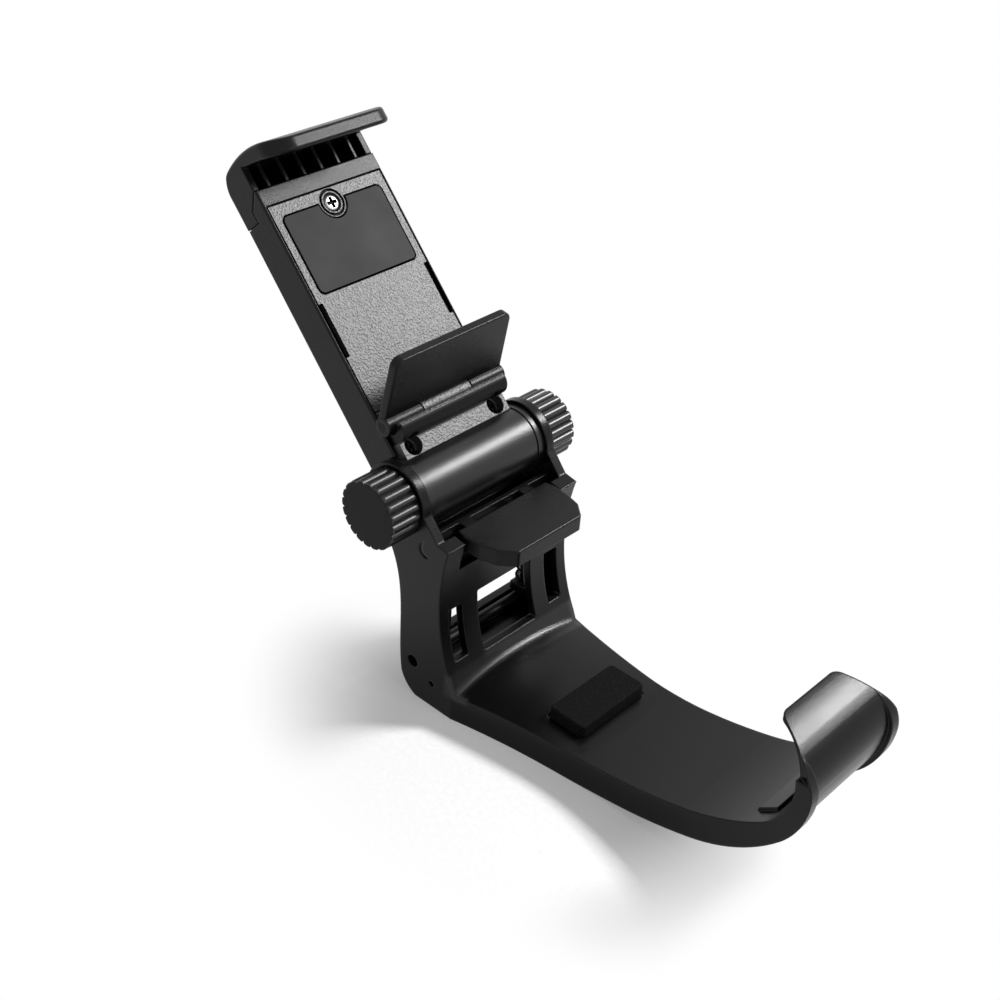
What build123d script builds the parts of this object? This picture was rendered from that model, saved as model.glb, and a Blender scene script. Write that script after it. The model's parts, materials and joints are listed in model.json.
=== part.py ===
from build123d import *
import math
import os

# A clip that holds a phone above a game controller.
# Lengths are in millimetres and angles in degrees. The model is drawn about the pivot axis:
# +X runs to the hook, +Y along the pivot and +Z up. It is moved onto its footprint when written.

# Pivot
EAR_RADIUS = 9.1
SIDE_WALL = 2.4
BARREL_RADIUS = 8.05
BARREL_HALF = 17.05
BARREL_HUB = 3.4
BARREL_CORE = 6.2
BARREL_CORE_DEPTH = 14.5
WASHER_RADIUS = 8.3
WASHER_THICK = 1.75
WASHER_GAP = 0.15
BOLT_RADIUS = 2.0
BOLT_CLEARANCE = 0.08
EAR_BORE_CLEARANCE = 0.2
HEX_FLATS = 7.0
HEX_HEIGHT = 3.2
HEX_DEPTH = 0.6
BOLT_END = 0.8

# Knobs
KNOB_RADIUS = 8.4
KNOB_ROOT = 7.65
KNOB_LENGTH = 8.2
KNOB_GAP = 0.2
KNOB_LOBES = 20
LOBE_RADIUS = 1.1
KNOB_CHAMFER = 0.5

# Base, side view
BOTTOM_Z = -51.2
SADDLE_Z = -43.9
CREASE_X = 21.1
WAIST_X = 14.95
WAIST_Z = -23.3
BULGE_X = 16.4
BULGE_Z = -32.6
SHOULDER_X = 16.8
SHOULDER_Z = -5.55
LEDGE_X = 13.35
LEDGE_Z = -4.9
REAR_WALL_TOP = -40.2
BACK_X = 3.0
HEEL_X = 8.5
HEEL_Z = -46.0
HEEL_WALL = 2.2
BACK_BEND_X = 0.2
BACK_BEND_Z = -14.5
SADDLE_OUTER_END = 47.0
SADDLE_INNER_END = 46.0
OUTER_ARCS = [(122.5, 17.9), (43.7, 33.1), (21.3, 38.1), (8.8, 59.2), (29.2, 20.7)]
INNER_ARCS = [(126.9, 16.7), (54.0, 20.7), (15.8, 62.0), (7.9, 99.6)]
FRONT_WALL = 2.2
FLOOR_WALL = 2.2
SKIN = 3.5
FRONT_TOP_Z = -13.3
SHOULDER_TOP = 2.2
FLOOR_Z = -43.3

# Base, plan view
HOOK_HALF = 16.1
FLARE_START = 20.0
FLARE_END = 66.0
RIM = 2.6
RIB_Y = 5.4
RIB = 2.2
CROSS_RIBS = [32.0, 52.0, 72.0, 92.0]
CROWN_RISE = 2.0
CROWN_END = 62.0
TIP_HALF = 9.5
TIP_TAPER_START = 108.6
TIP_CORNER = 3.0
TIP_TRIM = 0.4
TIP_REACH = 10.0
TIP_ZONE_Z = -14.0
CHANNEL_TURN = 0.62
SINK_BACK = 1.0
SINK_UP = 0.5
SINK_FROM_Z = -43.0
NOTCH_HALF = 16.0

# Windows in the upright
WINDOW_HALF = 9.0
WINDOW_TOP = -22.9
WINDOW_BOTTOM = -38.6
SLOT_WIDTH = 4.5
SLOT_MARGIN = 0.7
SLOT_TOP = -23.9
SLOT_BOTTOM = -37.2
WINDOW_CORNER = 0.5

# Rubber pad and the lug inside the hook
PAD_FROM_X = 40.5
PAD_TO_X = 50.6
PAD_HALF = 11.1
PAD_TOP = -40.4
PAD_FLOOR = -43.75
PAD_GAP = 0.35
PAD_CORNER = 1.2
LUG_FROM_X = 96.8
LUG_FROM_Z = -31.0
LUG_TO_X = 101.0
LUG_TO_Z = -27.9
LUG_SINK = 1.8
LUG_HALF = 11.5

# Clamp: tab, carriage, springs and stop pin
TAB_TOP = -4.5
TAB_THICK = 4.0
TAB_BACK_X = 12.8
TAB_FRONT_X = 27.6
TAB_BACK_HALF = 14.7
TAB_MIDDLE_HALF = 15.2
TAB_FRONT_HALF = 10.5
TAB_BEND_X = 20.0
TAB_CORNER = 1.2
TAB_EDGE = 0.45
ARM_INNER = 8.0
ARM_OUTER = 11.5
BAR_FROM_X = 9.1
BAR_TO_X = 10.4
BAR_TOP = -5.2
LEG_WIDTH = 4.2
LEG_GAP = 0.5
LEG_THICK = 1.8
FOOT_FROM_X = 4.9
FOOT_THICK = 2.2
GUSSET_Y = 6.0
GUSSET = 1.8
POST_RADIUS = 1.2
POST_TOP = -28.0
BRIDGE_FROM_X = 1.5
BRIDGE_TO_X = 9.5
BRIDGE_BOTTOM = -18.4
BRIDGE_THICK = 2.0
CROSS_WALL_TOP = -9.4
CLAMP_SPRING_X = 7.3
CLAMP_SPRING_TURNS = 6
CLAMP_WIRE = 0.28
CLAMP_SPRING_RADIUS = 1.9
SPRING_SEAT_GAP = 0.1
PIN_X = 7.2
PIN_Z = -41.5
PIN_RADIUS = 1.6
PIN_RECESS = 1.4
PIN_GAP = 0.1
DIMPLE_X = 13.5
DIMPLE_Z = -44.6
DIMPLE_RADIUS = 0.8
DIMPLE_DEPTH = 1.0
CRESCENT_X = 9.8
CRESCENT_Z = -8.3

# Phone holder. It is drawn upright, with X as height off its back and Z as length from the pivot.
LEAN = 43.7
HOLDER_MARGIN = 0.75
SHELL_BOTTOM = 8.6
SHELL_TOP = 74.6
STEP_Z = 68.6
FACE_X = 2.5
BACK_TOP_X = -6.6
BACK_BOTTOM_X = -7.4
SHELL_WALL = 1.3
STEP_WALL = 1.8
EDGE_CHAMFER = 0.35
SIDE_BORDER = 0.8
PANEL_GAP = 0.2
PANEL_THICK = 1.4
PANEL_TOP = 70.4
NOTCH_FROM = 33.2
NOTCH_TO = 46.1
NOTCH_DEPTH = 1.1
LABEL_FROM = 48.0
LABEL_TO = 67.2
LABEL_MARGIN = 2.2
LABEL_GAP = 0.15
LABEL_CORNER = 1.5
LABEL_THICK = 0.5
LABEL_SINK = 0.35
LABEL_CUT_RADIUS = 3.9
SEAT_RING = 3.2
SCREW_Z = 66.8
SCREW_HEAD = 1.95
SCREW_SHANK = 1.15
SCREW_HEAD_THICK = 1.2
SCREW_LENGTH = 6.0
SCREW_FLOOR = 0.1
SCREW_GAP = 0.06
RECESS_GAP = 0.25
SCREW_TIP_GAP = 0.3
BOSS_RADIUS = 2.9

# Hinge cover and fold-out shelf
STRIP_BOTTOM = 6.7
STRIP_FACE = 4.75
RAIL_FROM = 10.9
RAIL_TOP = 15.0
RAIL_FRONT = 8.9
RAIL_ROUND = 1.0
COVER_GAP = 0.3
COVER_TOP = 19.2
ACCESS_RADIUS = 2.4
ACCESS_INSET = 3.75
ACCESS_Z = 9.2
ACCESS_FLOOR = 2.2
HINGE_LUG_HALF = 7.5
SHELF_PIN_Z = 15.6
SHELF_PIN_X = 4.8
SHELF_PIN_RADIUS = 1.0
SHELF_PIN_GAP = 0.04
SHELF_ANGLE = 54.0
SHELF_LENGTH = 17.8
SHELF_UNDER = 2.0
SHELF_OVER = 0.3
SHELF_MARGIN = 0.8
SHELF_TAPER = 0.6
SHELF_CORNER = 2.2
SHELF_EDGE = 0.45
KNUCKLE_RADIUS = 2.2
HINGE_GAP = 0.3

# Sliding jaw with its rods and springs
JAW_BOTTOM = 68.9
JAW_BACK_X = -6.8
JAW_BACK_WALL = 2.0
JAW_WING_X = -2.15
JAW_SLOPE_FROM = 71.6
JAW_SLOPE_TO = 75.0
JAW_LIP_X = 1.8
JAW_FRONT_X = 16.2
JAW_TOP = 83.2
JAW_FRONT_TOP = 80.1
JAW_FRONT_BOTTOM = 76.5
JAW_CEILING = 80.4
JAW_WING = 1.6
JAW_FOOT = 2.0
JAW_RIBS = [2.6, 7.8, 13.05]
JAW_RIB = 0.8
JAW_SHOULDER_X = -3.2
JAW_SHOULDER_Z = 82.6
JAW_BACK_BULGE = 1.5
JAW_BACK_BULGE_Z = 81.1
JAW_CREST_X = 5.4
JAW_LIP_MIDDLE_X = 9.0
JAW_LIP_MIDDLE_Z = 78.8
JAW_EDGE = 0.8
JAW_CORNER = 5.9
ROD_Y = 11.0
ROD_X = -3.45
ROD_RADIUS = 0.9
ROD_BOTTOM = 26.2
ROD_GAP = 0.06
ROD_SINK = 1.6
CLIP_RADIUS = 1.75
CLIP_THICK = 0.6
CLIP_RISE = 0.8
JAW_SPRING_TURNS = 9
JAW_WIRE = 0.22
JAW_SPRING_RADIUS = 1.4

# Working values
EAR_INNER_Y = BARREL_HALF + WASHER_THICK + 2 * WASHER_GAP
HOLDER_HALF = BARREL_HALF + HOLDER_MARGIN
PANEL_HALF = HOLDER_HALF - SIDE_BORDER
COVER_HALF = PANEL_HALF - COVER_GAP
LABEL_HALF = PANEL_HALF - LABEL_MARGIN
SHELF_HALF = HOLDER_HALF + SHELF_MARGIN
ACCESS_Y = BARREL_HALF - ACCESS_INSET
LEG_OUTER = EAR_INNER_Y - LEG_GAP
LEG_INNER = LEG_OUTER - LEG_WIDTH
SLOT_OUTER = EAR_INNER_Y - SLOT_MARGIN
SLOT_INNER = SLOT_OUTER - SLOT_WIDTH
EAR_OUTER_Y = EAR_INNER_Y + SIDE_WALL
UPRIGHT_HALF = EAR_OUTER_Y
LEG_FROM_X = BAR_TO_X
LEG_TO_X = LEG_FROM_X + LEG_THICK
LEG_Y = (LEG_INNER + LEG_OUTER) / 2
FOOT_BOTTOM = PIN_Z + PIN_RADIUS + PIN_GAP
FOOT_TOP = FOOT_BOTTOM + FOOT_THICK
TAB_BOTTOM = TAB_TOP - TAB_THICK
PANEL_BACK_X = FACE_X - PANEL_THICK
SEAT_HALF = PANEL_HALF + PANEL_GAP
TONGUE_BACK_X = JAW_WING_X + HINGE_GAP
SCREW_SEAT_X = PANEL_BACK_X + SCREW_FLOOR
FAR = 200.0
HOLDER_LEAN = Rot(0, -LEAN, 0)


def section(outline):
    """Face of a closed side outline, seen along the pivot."""
    return Plane.XZ * make_face(outline)


def slab(outline, half):
    """A side outline thickened evenly about the middle plane."""
    return extrude(section(outline), half, both=True)


def layer(outline, inner, outer):
    """A side outline thickened from inner to outer, on the right and on the left."""
    right = Pos(0, outer, 0) * extrude(section(outline), outer - inner)
    return right + mirror(right, Plane.XZ)


def block(x0, x1, y0, y1, z0, z1):
    """A box given by its limits."""
    middle = Pos((x0 + x1) / 2, (y0 + y1) / 2, (z0 + z1) / 2)
    return middle * Box(x1 - x0, y1 - y0, z1 - z0)


def pair_of_blocks(x0, x1, y0, y1, z0, z1):
    """A box on the right and its mirror on the left."""
    right = block(x0, x1, y0, y1, z0, z1)
    return right + mirror(right, Plane.XZ)


def rod(radius, start, end, x=0.0, z=0.0):
    """A round bar along the pivot direction."""
    return Pos(x, (start + end) / 2, z) * Rot(90, 0, 0) * Cylinder(radius, abs(end - start))


def post(radius, bottom, top, x, y):
    """A round bar that stands upright."""
    return Pos(x, y, (bottom + top) / 2) * Cylinder(radius, top - bottom)


def stud(radius, back, front, y, z):
    """A round bar that points out of the face of the holder."""
    return Pos((back + front) / 2, y, z) * Rot(0, 90, 0) * Cylinder(radius, front - back)


def both_sides(shape):
    """A shape and its mirror across the middle plane."""
    return shape + mirror(shape, Plane.XZ)


def arc_run(start, arcs, grow=0.0):
    """Tangent arcs that start level and turn upward, each a radius and an angle."""
    run = []
    place = start
    heading = (1, 0)
    for radius, angle in arcs:
        piece = JernArc(place, heading, radius + grow, angle)
        run.append(piece)
        place = piece @ 1
        heading = piece % 1
    return run


def front_curve(shift):
    """Front face of the upright in side view, from the crease up to the shoulder."""
    return Spline(
        (CREASE_X - shift, SADDLE_Z),
        (BULGE_X - shift, BULGE_Z),
        (WAIST_X - shift, WAIST_Z),
        (SHOULDER_X - shift, SHOULDER_Z),
    )


def base_side():
    """Whole side outline of the base below the ears."""
    tangent = math.radians(222)
    ear_back = (EAR_RADIUS * math.cos(tangent), EAR_RADIUS * math.sin(tangent))
    heel = (HEEL_X, BOTTOM_Z)
    outer = arc_run((SADDLE_OUTER_END, BOTTOM_Z), OUTER_ARCS)
    inner = arc_run((SADDLE_INNER_END, SADDLE_Z), INNER_ARCS)
    front = front_curve(0.0)
    back = Spline(ear_back, (BACK_BEND_X, BACK_BEND_Z), (BACK_X, REAR_WALL_TOP), (BACK_X + 0.6, HEEL_Z))
    lines = [
        back,
        ThreePointArc(back @ 1, (BACK_X + 2.4, BOTTOM_Z + 2.1), heel),
        Line(heel, (SADDLE_OUTER_END, BOTTOM_Z)),
        *outer,
        Line(outer[-1] @ 1, inner[-1] @ 1),
        *inner,
        Line((SADDLE_INNER_END, SADDLE_Z), (CREASE_X, SADDLE_Z)),
        front,
        Line((SHOULDER_X, SHOULDER_Z), (LEDGE_X, LEDGE_Z)),
        Line((LEDGE_X, LEDGE_Z), (EAR_RADIUS, 0)),
        Line((EAR_RADIUS, 0), ear_back),
    ]
    return lines


def plan_prism(inset):
    """Plan outline of the base, made narrower by inset and tall enough to trim with."""
    wide = UPRIGHT_HALF - inset
    slim = HOOK_HALF - inset
    middle = ((FLARE_START + FLARE_END) / 2, slim + (wide - slim) / 4)
    right = [
        Line((-FAR, 0), (-FAR, wide)),
        Line((-FAR, wide), (FLARE_START, wide)),
        ThreePointArc((FLARE_START, wide), middle, (FLARE_END, slim)),
        Line((FLARE_END, slim), (FAR, slim)),
        Line((FAR, slim), (FAR, 0)),
        Line((FAR, 0), (-FAR, 0)),
    ]
    half = extrude(make_face(right), FAR, both=True)
    return both_sides(half)


def crown():
    """Gentle arch of the saddle, highest at the crease and fading out towards the hook."""
    root = SADDLE_Z - SKIN / 2
    sections = []
    for x, half, rise in (
        (CREASE_X - 2, UPRIGHT_HALF, CROWN_RISE),
        (CROWN_END, HOOK_HALF, 0.05),
    ):
        low = half * 0.98
        arch = ThreePointArc((-low, SADDLE_Z), (0, SADDLE_Z + rise), (low, SADDLE_Z))
        rest = Polyline((low, SADDLE_Z), (low, root), (-low, root), (-low, SADDLE_Z))
        sections.append(Plane(origin=(x, 0, 0), x_dir=(0, 1, 0), z_dir=(1, 0, 0)) * make_face([arch, rest]))
    return loft(sections, ruled=True)


def cavity():
    """Space inside the upright, open at the back and at the top."""
    front = front_curve(FRONT_WALL)
    floor_front = front @ 0
    top = SHOULDER_Z - SHOULDER_TOP
    behind = Polyline(
        (-FAR, REAR_WALL_TOP),
        (BACK_X + FLOOR_WALL, REAR_WALL_TOP),
        (BACK_X + FLOOR_WALL, SADDLE_Z),
        (floor_front.X, SADDLE_Z),
    )
    above = Polyline(((front @ 1).X, (front @ 1).Y), (SHOULDER_X, FAR), (-FAR, FAR), (-FAR, REAR_WALL_TOP))
    room = slab([behind, front, above], EAR_INNER_Y)
    roof = both_sides(block(LEDGE_X, FAR, NOTCH_HALF, FAR, top, FAR))
    floor = block(-FAR, FAR, -FAR, FAR, -FAR, FLOOR_Z)
    return room - roof - floor


def channel():
    """Hollow under the saddle and behind the hook, with a grid of ribs left in it."""
    start = (SADDLE_INNER_END, SADDLE_Z - SKIN)
    last_radius, last_angle = INNER_ARCS[-2]
    run = arc_run(start, INNER_ARCS[:-2] + [(last_radius, last_angle * CHANNEL_TURN)], SKIN)
    end = run[-1] @ 1
    low = BOTTOM_Z - SKIN
    close = Polyline(
        (end.X, end.Y),
        (FAR, end.Y),
        (FAR, low),
        (HEEL_X + HEEL_WALL, low),
        (HEEL_X + HEEL_WALL, start[1]),
        start,
    )
    hollow = slab([*run, close], UPRIGHT_HALF) & plan_prism(RIM)
    ribs = pair_of_blocks(-FAR, FAR, RIB_Y - RIB / 2, RIB_Y + RIB / 2, -FAR, FAR)
    for x in CROSS_RIBS:
        ribs += block(x - RIB / 2, x + RIB / 2, -FAR, FAR, -FAR, FAR)
    return hollow - ribs


def hook_sink():
    """Shallow sink of the hook's outer skin between its two rims, fading out towards the tip."""
    run = arc_run((SADDLE_OUTER_END - SINK_BACK, BOTTOM_Z + SINK_UP), OUTER_ARCS)
    start = run[0] @ 0
    end = run[-1] @ 1
    close = Polyline((end.X, end.Y), (end.X, FAR), (FAR, FAR), (FAR, -FAR), (start.X, -FAR), (start.X, start.Y))
    return slab([*run, close], UPRIGHT_HALF) & plan_prism(RIM) & block(0, FAR, -FAR, FAR, SINK_FROM_Z, FAR)


def tip_trim():
    """What is taken off both sides of the hook plate near its free end."""
    end = arc_run((SADDLE_OUTER_END, BOTTOM_Z), OUTER_ARCS)[-1] @ 1
    end_x = end.X + TIP_TRIM
    right = [(FAR, HOOK_HALF), (TIP_TAPER_START, HOOK_HALF), (end_x, TIP_HALF)]
    keep = make_face(Polyline(*right, *[(x, -y) for x, y in reversed(right)], close=True))
    keep = fillet(keep.vertices().group_by(Axis.X)[0], TIP_CORNER)
    zone = block(end.X - TIP_REACH, FAR, -FAR, FAR, TIP_ZONE_Z, FAR)
    return zone - extrude(keep, FAR, both=True)


def windows():
    """Openings through the front wall of the upright."""
    depth = SHOULDER_X + SHOULDER_TOP
    cuts = stud_window(-WINDOW_HALF, WINDOW_HALF, WINDOW_BOTTOM, WINDOW_TOP, depth)
    for side in (-1, 1):
        near, far = sorted((side * SLOT_INNER, side * SLOT_OUTER))
        cuts += stud_window(near, far, SLOT_BOTTOM, SLOT_TOP, depth)
    return cuts


def stud_window(y0, y1, z0, z1, depth):
    """A rounded window cut forward from the space inside the upright."""
    face = Pos((y0 + y1) / 2, (z0 + z1) / 2) * RectangleRounded(y1 - y0, z1 - z0, WINDOW_CORNER)
    plane = Plane(origin=(LEG_TO_X, 0, 0), x_dir=(0, 1, 0), z_dir=(1, 0, 0))
    return extrude(plane * face, depth)


def pad_plan(grow):
    """Plan of the rubber pad, grown all round."""
    length = PAD_TO_X - PAD_FROM_X + 2 * grow
    middle = Pos((PAD_FROM_X + PAD_TO_X) / 2, 0)
    return middle * RectangleRounded(length, 2 * (PAD_HALF + grow), PAD_CORNER)


def hook_lug():
    """Low ledge inside the hook that the far edge of the controller bears on."""
    profile = Polyline(
        (LUG_FROM_X, LUG_FROM_Z),
        (LUG_TO_X, LUG_TO_Z),
        (LUG_TO_X, LUG_TO_Z - LUG_SINK),
        (LUG_FROM_X, LUG_FROM_Z - LUG_SINK),
        close=True,
    )
    return slab(profile, LUG_HALF)


def make_base_frame():
    """Upright with ears, saddle, hook and the ribs below, as one moulding."""
    walls = slab(base_side(), UPRIGHT_HALF) & plan_prism(0.0)
    body = walls + (crown() & plan_prism(0.0))
    body += rod(EAR_RADIUS, -EAR_OUTER_Y, EAR_OUTER_Y)
    body -= cavity()
    body -= block(-FAR, FAR, -NOTCH_HALF, NOTCH_HALF, FRONT_TOP_Z, FAR) & block(
        LEDGE_X - 1, SHOULDER_X + 1, -FAR, FAR, -FAR, FAR
    )
    body -= channel()
    body -= hook_sink()
    body -= tip_trim()
    body -= windows()
    body += block(
        BRIDGE_FROM_X,
        BRIDGE_TO_X,
        -EAR_INNER_Y - SIDE_WALL / 2,
        EAR_INNER_Y + SIDE_WALL / 2,
        BRIDGE_BOTTOM,
        BRIDGE_BOTTOM + BRIDGE_THICK,
    )
    body += block(
        BRIDGE_FROM_X,
        BRIDGE_FROM_X + BRIDGE_THICK,
        -EAR_INNER_Y - SIDE_WALL / 2,
        EAR_INNER_Y + SIDE_WALL / 2,
        BRIDGE_BOTTOM,
        CROSS_WALL_TOP,
    )
    body += hook_lug()
    body -= rod(BOLT_RADIUS + EAR_BORE_CLEARANCE, -FAR, FAR)
    body -= rod(PIN_RADIUS, -FAR, FAR, PIN_X, PIN_Z)
    for side in (-1, 1):
        wall = side * EAR_OUTER_Y
        body -= rod(DIMPLE_RADIUS, wall - side * DIMPLE_DEPTH, wall + side, DIMPLE_X, DIMPLE_Z)
        ring = rod(1.9, wall - side * 0.4, wall + side, CRESCENT_X, CRESCENT_Z)
        body -= ring - rod(1.9, wall - side * 2, wall + side * 2, CRESCENT_X + 0.8, CRESCENT_Z + 0.5)
    body -= extrude(Pos(0, 0, PAD_FLOOR) * pad_plan(PAD_GAP), -PAD_FLOOR + PAD_TOP)
    return body


def make_saddle_pad():
    """Rubber pad that sits in the shallow seat of the saddle."""
    pad = extrude(Pos(0, 0, PAD_FLOOR) * pad_plan(0.0), PAD_TOP - PAD_FLOOR)
    return fillet(pad.faces().sort_by(Axis.Z)[-1].edges(), 0.6)


def make_stop_pin():
    """Steel pin through both side walls, a little below their outer faces."""
    reach = EAR_OUTER_Y - PIN_RECESS
    return rod(PIN_RADIUS, -reach, reach, PIN_X, PIN_Z)


def make_clamp_tab():
    """Tab, arms, cross bar, legs and feet of the sliding clamp, as one moulding."""
    half = [
        (TAB_BACK_X, TAB_BACK_HALF),
        (TAB_BACK_X + 2.4, TAB_MIDDLE_HALF),
        (TAB_BEND_X, TAB_BACK_HALF),
        (TAB_FRONT_X - 3.6, TAB_BACK_HALF - 1.1),
        (TAB_FRONT_X, TAB_FRONT_HALF),
    ]
    plan = Polyline(*half, *[(x, -y) for x, y in reversed(half)], close=True)
    plan = make_face(plan)
    plan = fillet(plan.vertices().filter_by_position(Axis.X, TAB_BEND_X - 0.1, FAR), TAB_CORNER)
    tab = extrude(Pos(0, 0, TAB_BOTTOM) * plan, TAB_THICK)
    tab = fillet(tab.faces().sort_by(Axis.Z)[-1].edges(), TAB_EDGE)
    tab += pair_of_blocks(BAR_FROM_X, TAB_BACK_X + 1, ARM_INNER, ARM_OUTER, TAB_BOTTOM, BAR_TOP)
    tab += block(BAR_FROM_X, BAR_TO_X, -LEG_OUTER, LEG_OUTER, TAB_BOTTOM, BAR_TOP)
    plate_bottom = TAB_BOTTOM - TAB_THICK
    tab += block(BAR_FROM_X, LEG_TO_X, -LEG_OUTER, LEG_OUTER, plate_bottom, TAB_BOTTOM)
    tab += pair_of_blocks(LEG_FROM_X, LEG_TO_X, LEG_INNER, LEG_OUTER, FOOT_BOTTOM, TAB_BOTTOM)
    tab += pair_of_blocks(FOOT_FROM_X, LEG_TO_X, LEG_INNER, LEG_OUTER, FOOT_BOTTOM, FOOT_TOP)
    gusset = Polyline(
        (LEG_TO_X, TAB_BOTTOM),
        (TAB_BEND_X + 2, TAB_BOTTOM),
        (LEG_TO_X, plate_bottom),
        close=True,
    )
    tab += layer(gusset, GUSSET_Y - GUSSET / 2, GUSSET_Y + GUSSET / 2)
    tab += both_sides(post(POST_RADIUS, FOOT_TOP, POST_TOP, CLAMP_SPRING_X, LEG_Y))
    return tab


def coil(radius, wire, turns, bottom, top, x, y):
    """Open compression spring that stands upright between two seats."""
    height = top - bottom - 2 * wire
    path = Pos(x, y, bottom + wire) * Helix(height / turns, height, radius)
    start = Plane(origin=path @ 0, z_dir=path % 0)
    return sweep(start * Circle(wire), path=path, is_frenet=True)


def make_clamp_spring(side):
    """Spring between a foot of the clamp and the bridge of the base."""
    return coil(
        CLAMP_SPRING_RADIUS,
        CLAMP_WIRE,
        CLAMP_SPRING_TURNS,
        FOOT_TOP + SPRING_SEAT_GAP,
        BRIDGE_BOTTOM - SPRING_SEAT_GAP,
        CLAMP_SPRING_X,
        side * LEG_Y,
    )


def hexagon(side, start, height):
    """Hexagonal block along the pivot, from start outwards."""
    face = Rot(0, 0, 30) * RegularPolygon(HEX_FLATS / 2, 6, major_radius=False)
    solid = extrude(face, height)
    return Pos(0, side * start, 0) * Rot(-90 * side, 0, 0) * solid


def knob_places():
    """Inner face, nut seat, bolt end and outer face of a knob, as distances from the middle."""
    inner = EAR_OUTER_Y + KNOB_GAP
    seat = inner + HEX_DEPTH
    return inner, seat, seat + HEX_HEIGHT + BOLT_END, inner + KNOB_LENGTH


def make_knob(side):
    """Fluted knob, hollow on the inside for the hexagon that it grips."""
    inner, seat, bolt_end, outer = knob_places()
    flutes = Circle(KNOB_ROOT)
    for index in range(KNOB_LOBES):
        turn = Rot(0, 0, index * 360 / KNOB_LOBES)
        flutes += turn * Pos(KNOB_RADIUS - LOBE_RADIUS, 0) * Circle(LOBE_RADIUS)
    body = extrude(flutes, outer - inner)
    blank = Pos(0, 0, (outer - inner) / 2) * Cylinder(KNOB_RADIUS + 0.05, outer - inner)
    blank = chamfer(blank.faces().sort_by(Axis.Z)[-1].edges(), KNOB_CHAMFER)
    body = Pos(0, side * inner, 0) * Rot(-90 * side, 0, 0) * (body & blank)
    pocket = hexagon(side, inner - 1, HEX_DEPTH + HEX_HEIGHT + 1)
    bore = rod(BOLT_RADIUS + BOLT_CLEARANCE, side * inner, side * (bolt_end + BOLT_END))
    return body - pocket - bore


def make_pivot_bolt():
    """Steel bolt that the right knob turns."""
    inner, seat, bolt_end, outer = knob_places()
    return hexagon(1, seat, HEX_HEIGHT) + rod(BOLT_RADIUS, -bolt_end, seat + 1)


def make_pivot_nut():
    """Steel nut in the left knob."""
    inner, seat, bolt_end, outer = knob_places()
    bore = rod(BOLT_RADIUS + BOLT_CLEARANCE, -outer, 0)
    return hexagon(-1, seat, HEX_HEIGHT) - bore


def make_washer(side):
    """Plastic friction washer between the barrel and an ear."""
    start = side * (EAR_INNER_Y - WASHER_GAP - WASHER_THICK)
    end = side * (EAR_INNER_Y - WASHER_GAP)
    disc = rod(WASHER_RADIUS, start, end)
    return disc - rod(BOLT_RADIUS + BOLT_CLEARANCE, 0, side * FAR)


def shell_side():
    """Side outline of the holder, without the barrel."""
    return Polyline(
        (BACK_BOTTOM_X, SHELL_BOTTOM),
        (BACK_TOP_X, STEP_Z),
        (TONGUE_BACK_X, STEP_Z),
        (TONGUE_BACK_X, JAW_SLOPE_FROM - HINGE_GAP),
        (JAW_LIP_X, SHELL_TOP - HINGE_GAP / 2),
        (JAW_LIP_X, SHELL_TOP),
        (FACE_X, SHELL_TOP),
        (FACE_X, SHELL_BOTTOM),
        close=True,
    )


def make_holder_shell():
    """Tray of the holder with its barrel, as one moulding."""
    body = slab(shell_side(), HOLDER_HALF)
    long_edges = body.edges().filter_by(Axis.Z).group_by(Axis.X)[-1]
    body = chamfer(long_edges, EDGE_CHAMFER)
    inner = Polyline(
        (BACK_BOTTOM_X + SHELL_WALL, SHELL_BOTTOM + SHELL_WALL),
        (BACK_TOP_X + SHELL_WALL, STEP_Z - STEP_WALL),
        (FACE_X + 1, STEP_Z - STEP_WALL),
        (FACE_X + 1, SHELL_BOTTOM + SHELL_WALL),
        close=True,
    )
    body -= slab(inner, HOLDER_HALF - SHELL_WALL)
    body -= block(PANEL_BACK_X, FAR, -SEAT_HALF, SEAT_HALF, SHELL_BOTTOM - 1, PANEL_TOP + PANEL_GAP)
    neck = Polyline(
        (-BARREL_RADIUS, 0),
        (-BARREL_RADIUS, 1),
        (BACK_BOTTOM_X, SHELL_BOTTOM),
        (BACK_BOTTOM_X, SHELL_BOTTOM + 1),
        (PANEL_BACK_X, SHELL_BOTTOM + 1),
        (PANEL_BACK_X, 0),
        close=True,
    )
    body += slab(neck, BARREL_HALF)
    body += rod(BARREL_RADIUS, -BARREL_HALF, BARREL_HALF)
    for side in (-1, 1):
        inner = side * (BARREL_HALF - BARREL_CORE_DEPTH)
        body -= rod(BARREL_CORE, inner, side * FAR) - rod(BARREL_HUB, inner - side, side * BARREL_HALF)
    for y, z in screw_places():
        body += stud(BOSS_RADIUS, BACK_BOTTOM_X + SHELL_WALL / 2, PANEL_BACK_X, y, z) & block(
            -FAR, FAR, -FAR, FAR, SHELL_BOTTOM, STEP_Z
        )
    for y, z in screw_places():
        body -= stud(SCREW_SHANK, SCREW_SEAT_X - SCREW_LENGTH - SCREW_TIP_GAP, FACE_X, y, z)
    body -= rod(KNUCKLE_RADIUS + HINGE_GAP, -FAR, FAR, SHELF_PIN_X, SHELF_PIN_Z)
    for side in (-1, 1):
        body -= stud(SCREW_HEAD + SCREW_GAP, SCREW_SEAT_X, FAR, side * ACCESS_Y, ACCESS_Z)
        body -= post(ROD_RADIUS + ROD_GAP, STEP_Z - STEP_WALL - 1, STEP_Z + 1, ROD_X, side * ROD_Y)
    body -= rod(BOLT_RADIUS + BOLT_CLEARANCE, -FAR, FAR)
    return body


def screw_places():
    """Across and along places of the three screws of the holder."""
    return [(0.0, SCREW_Z), (-ACCESS_Y, ACCESS_Z), (ACCESS_Y, ACCESS_Z)]


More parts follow.
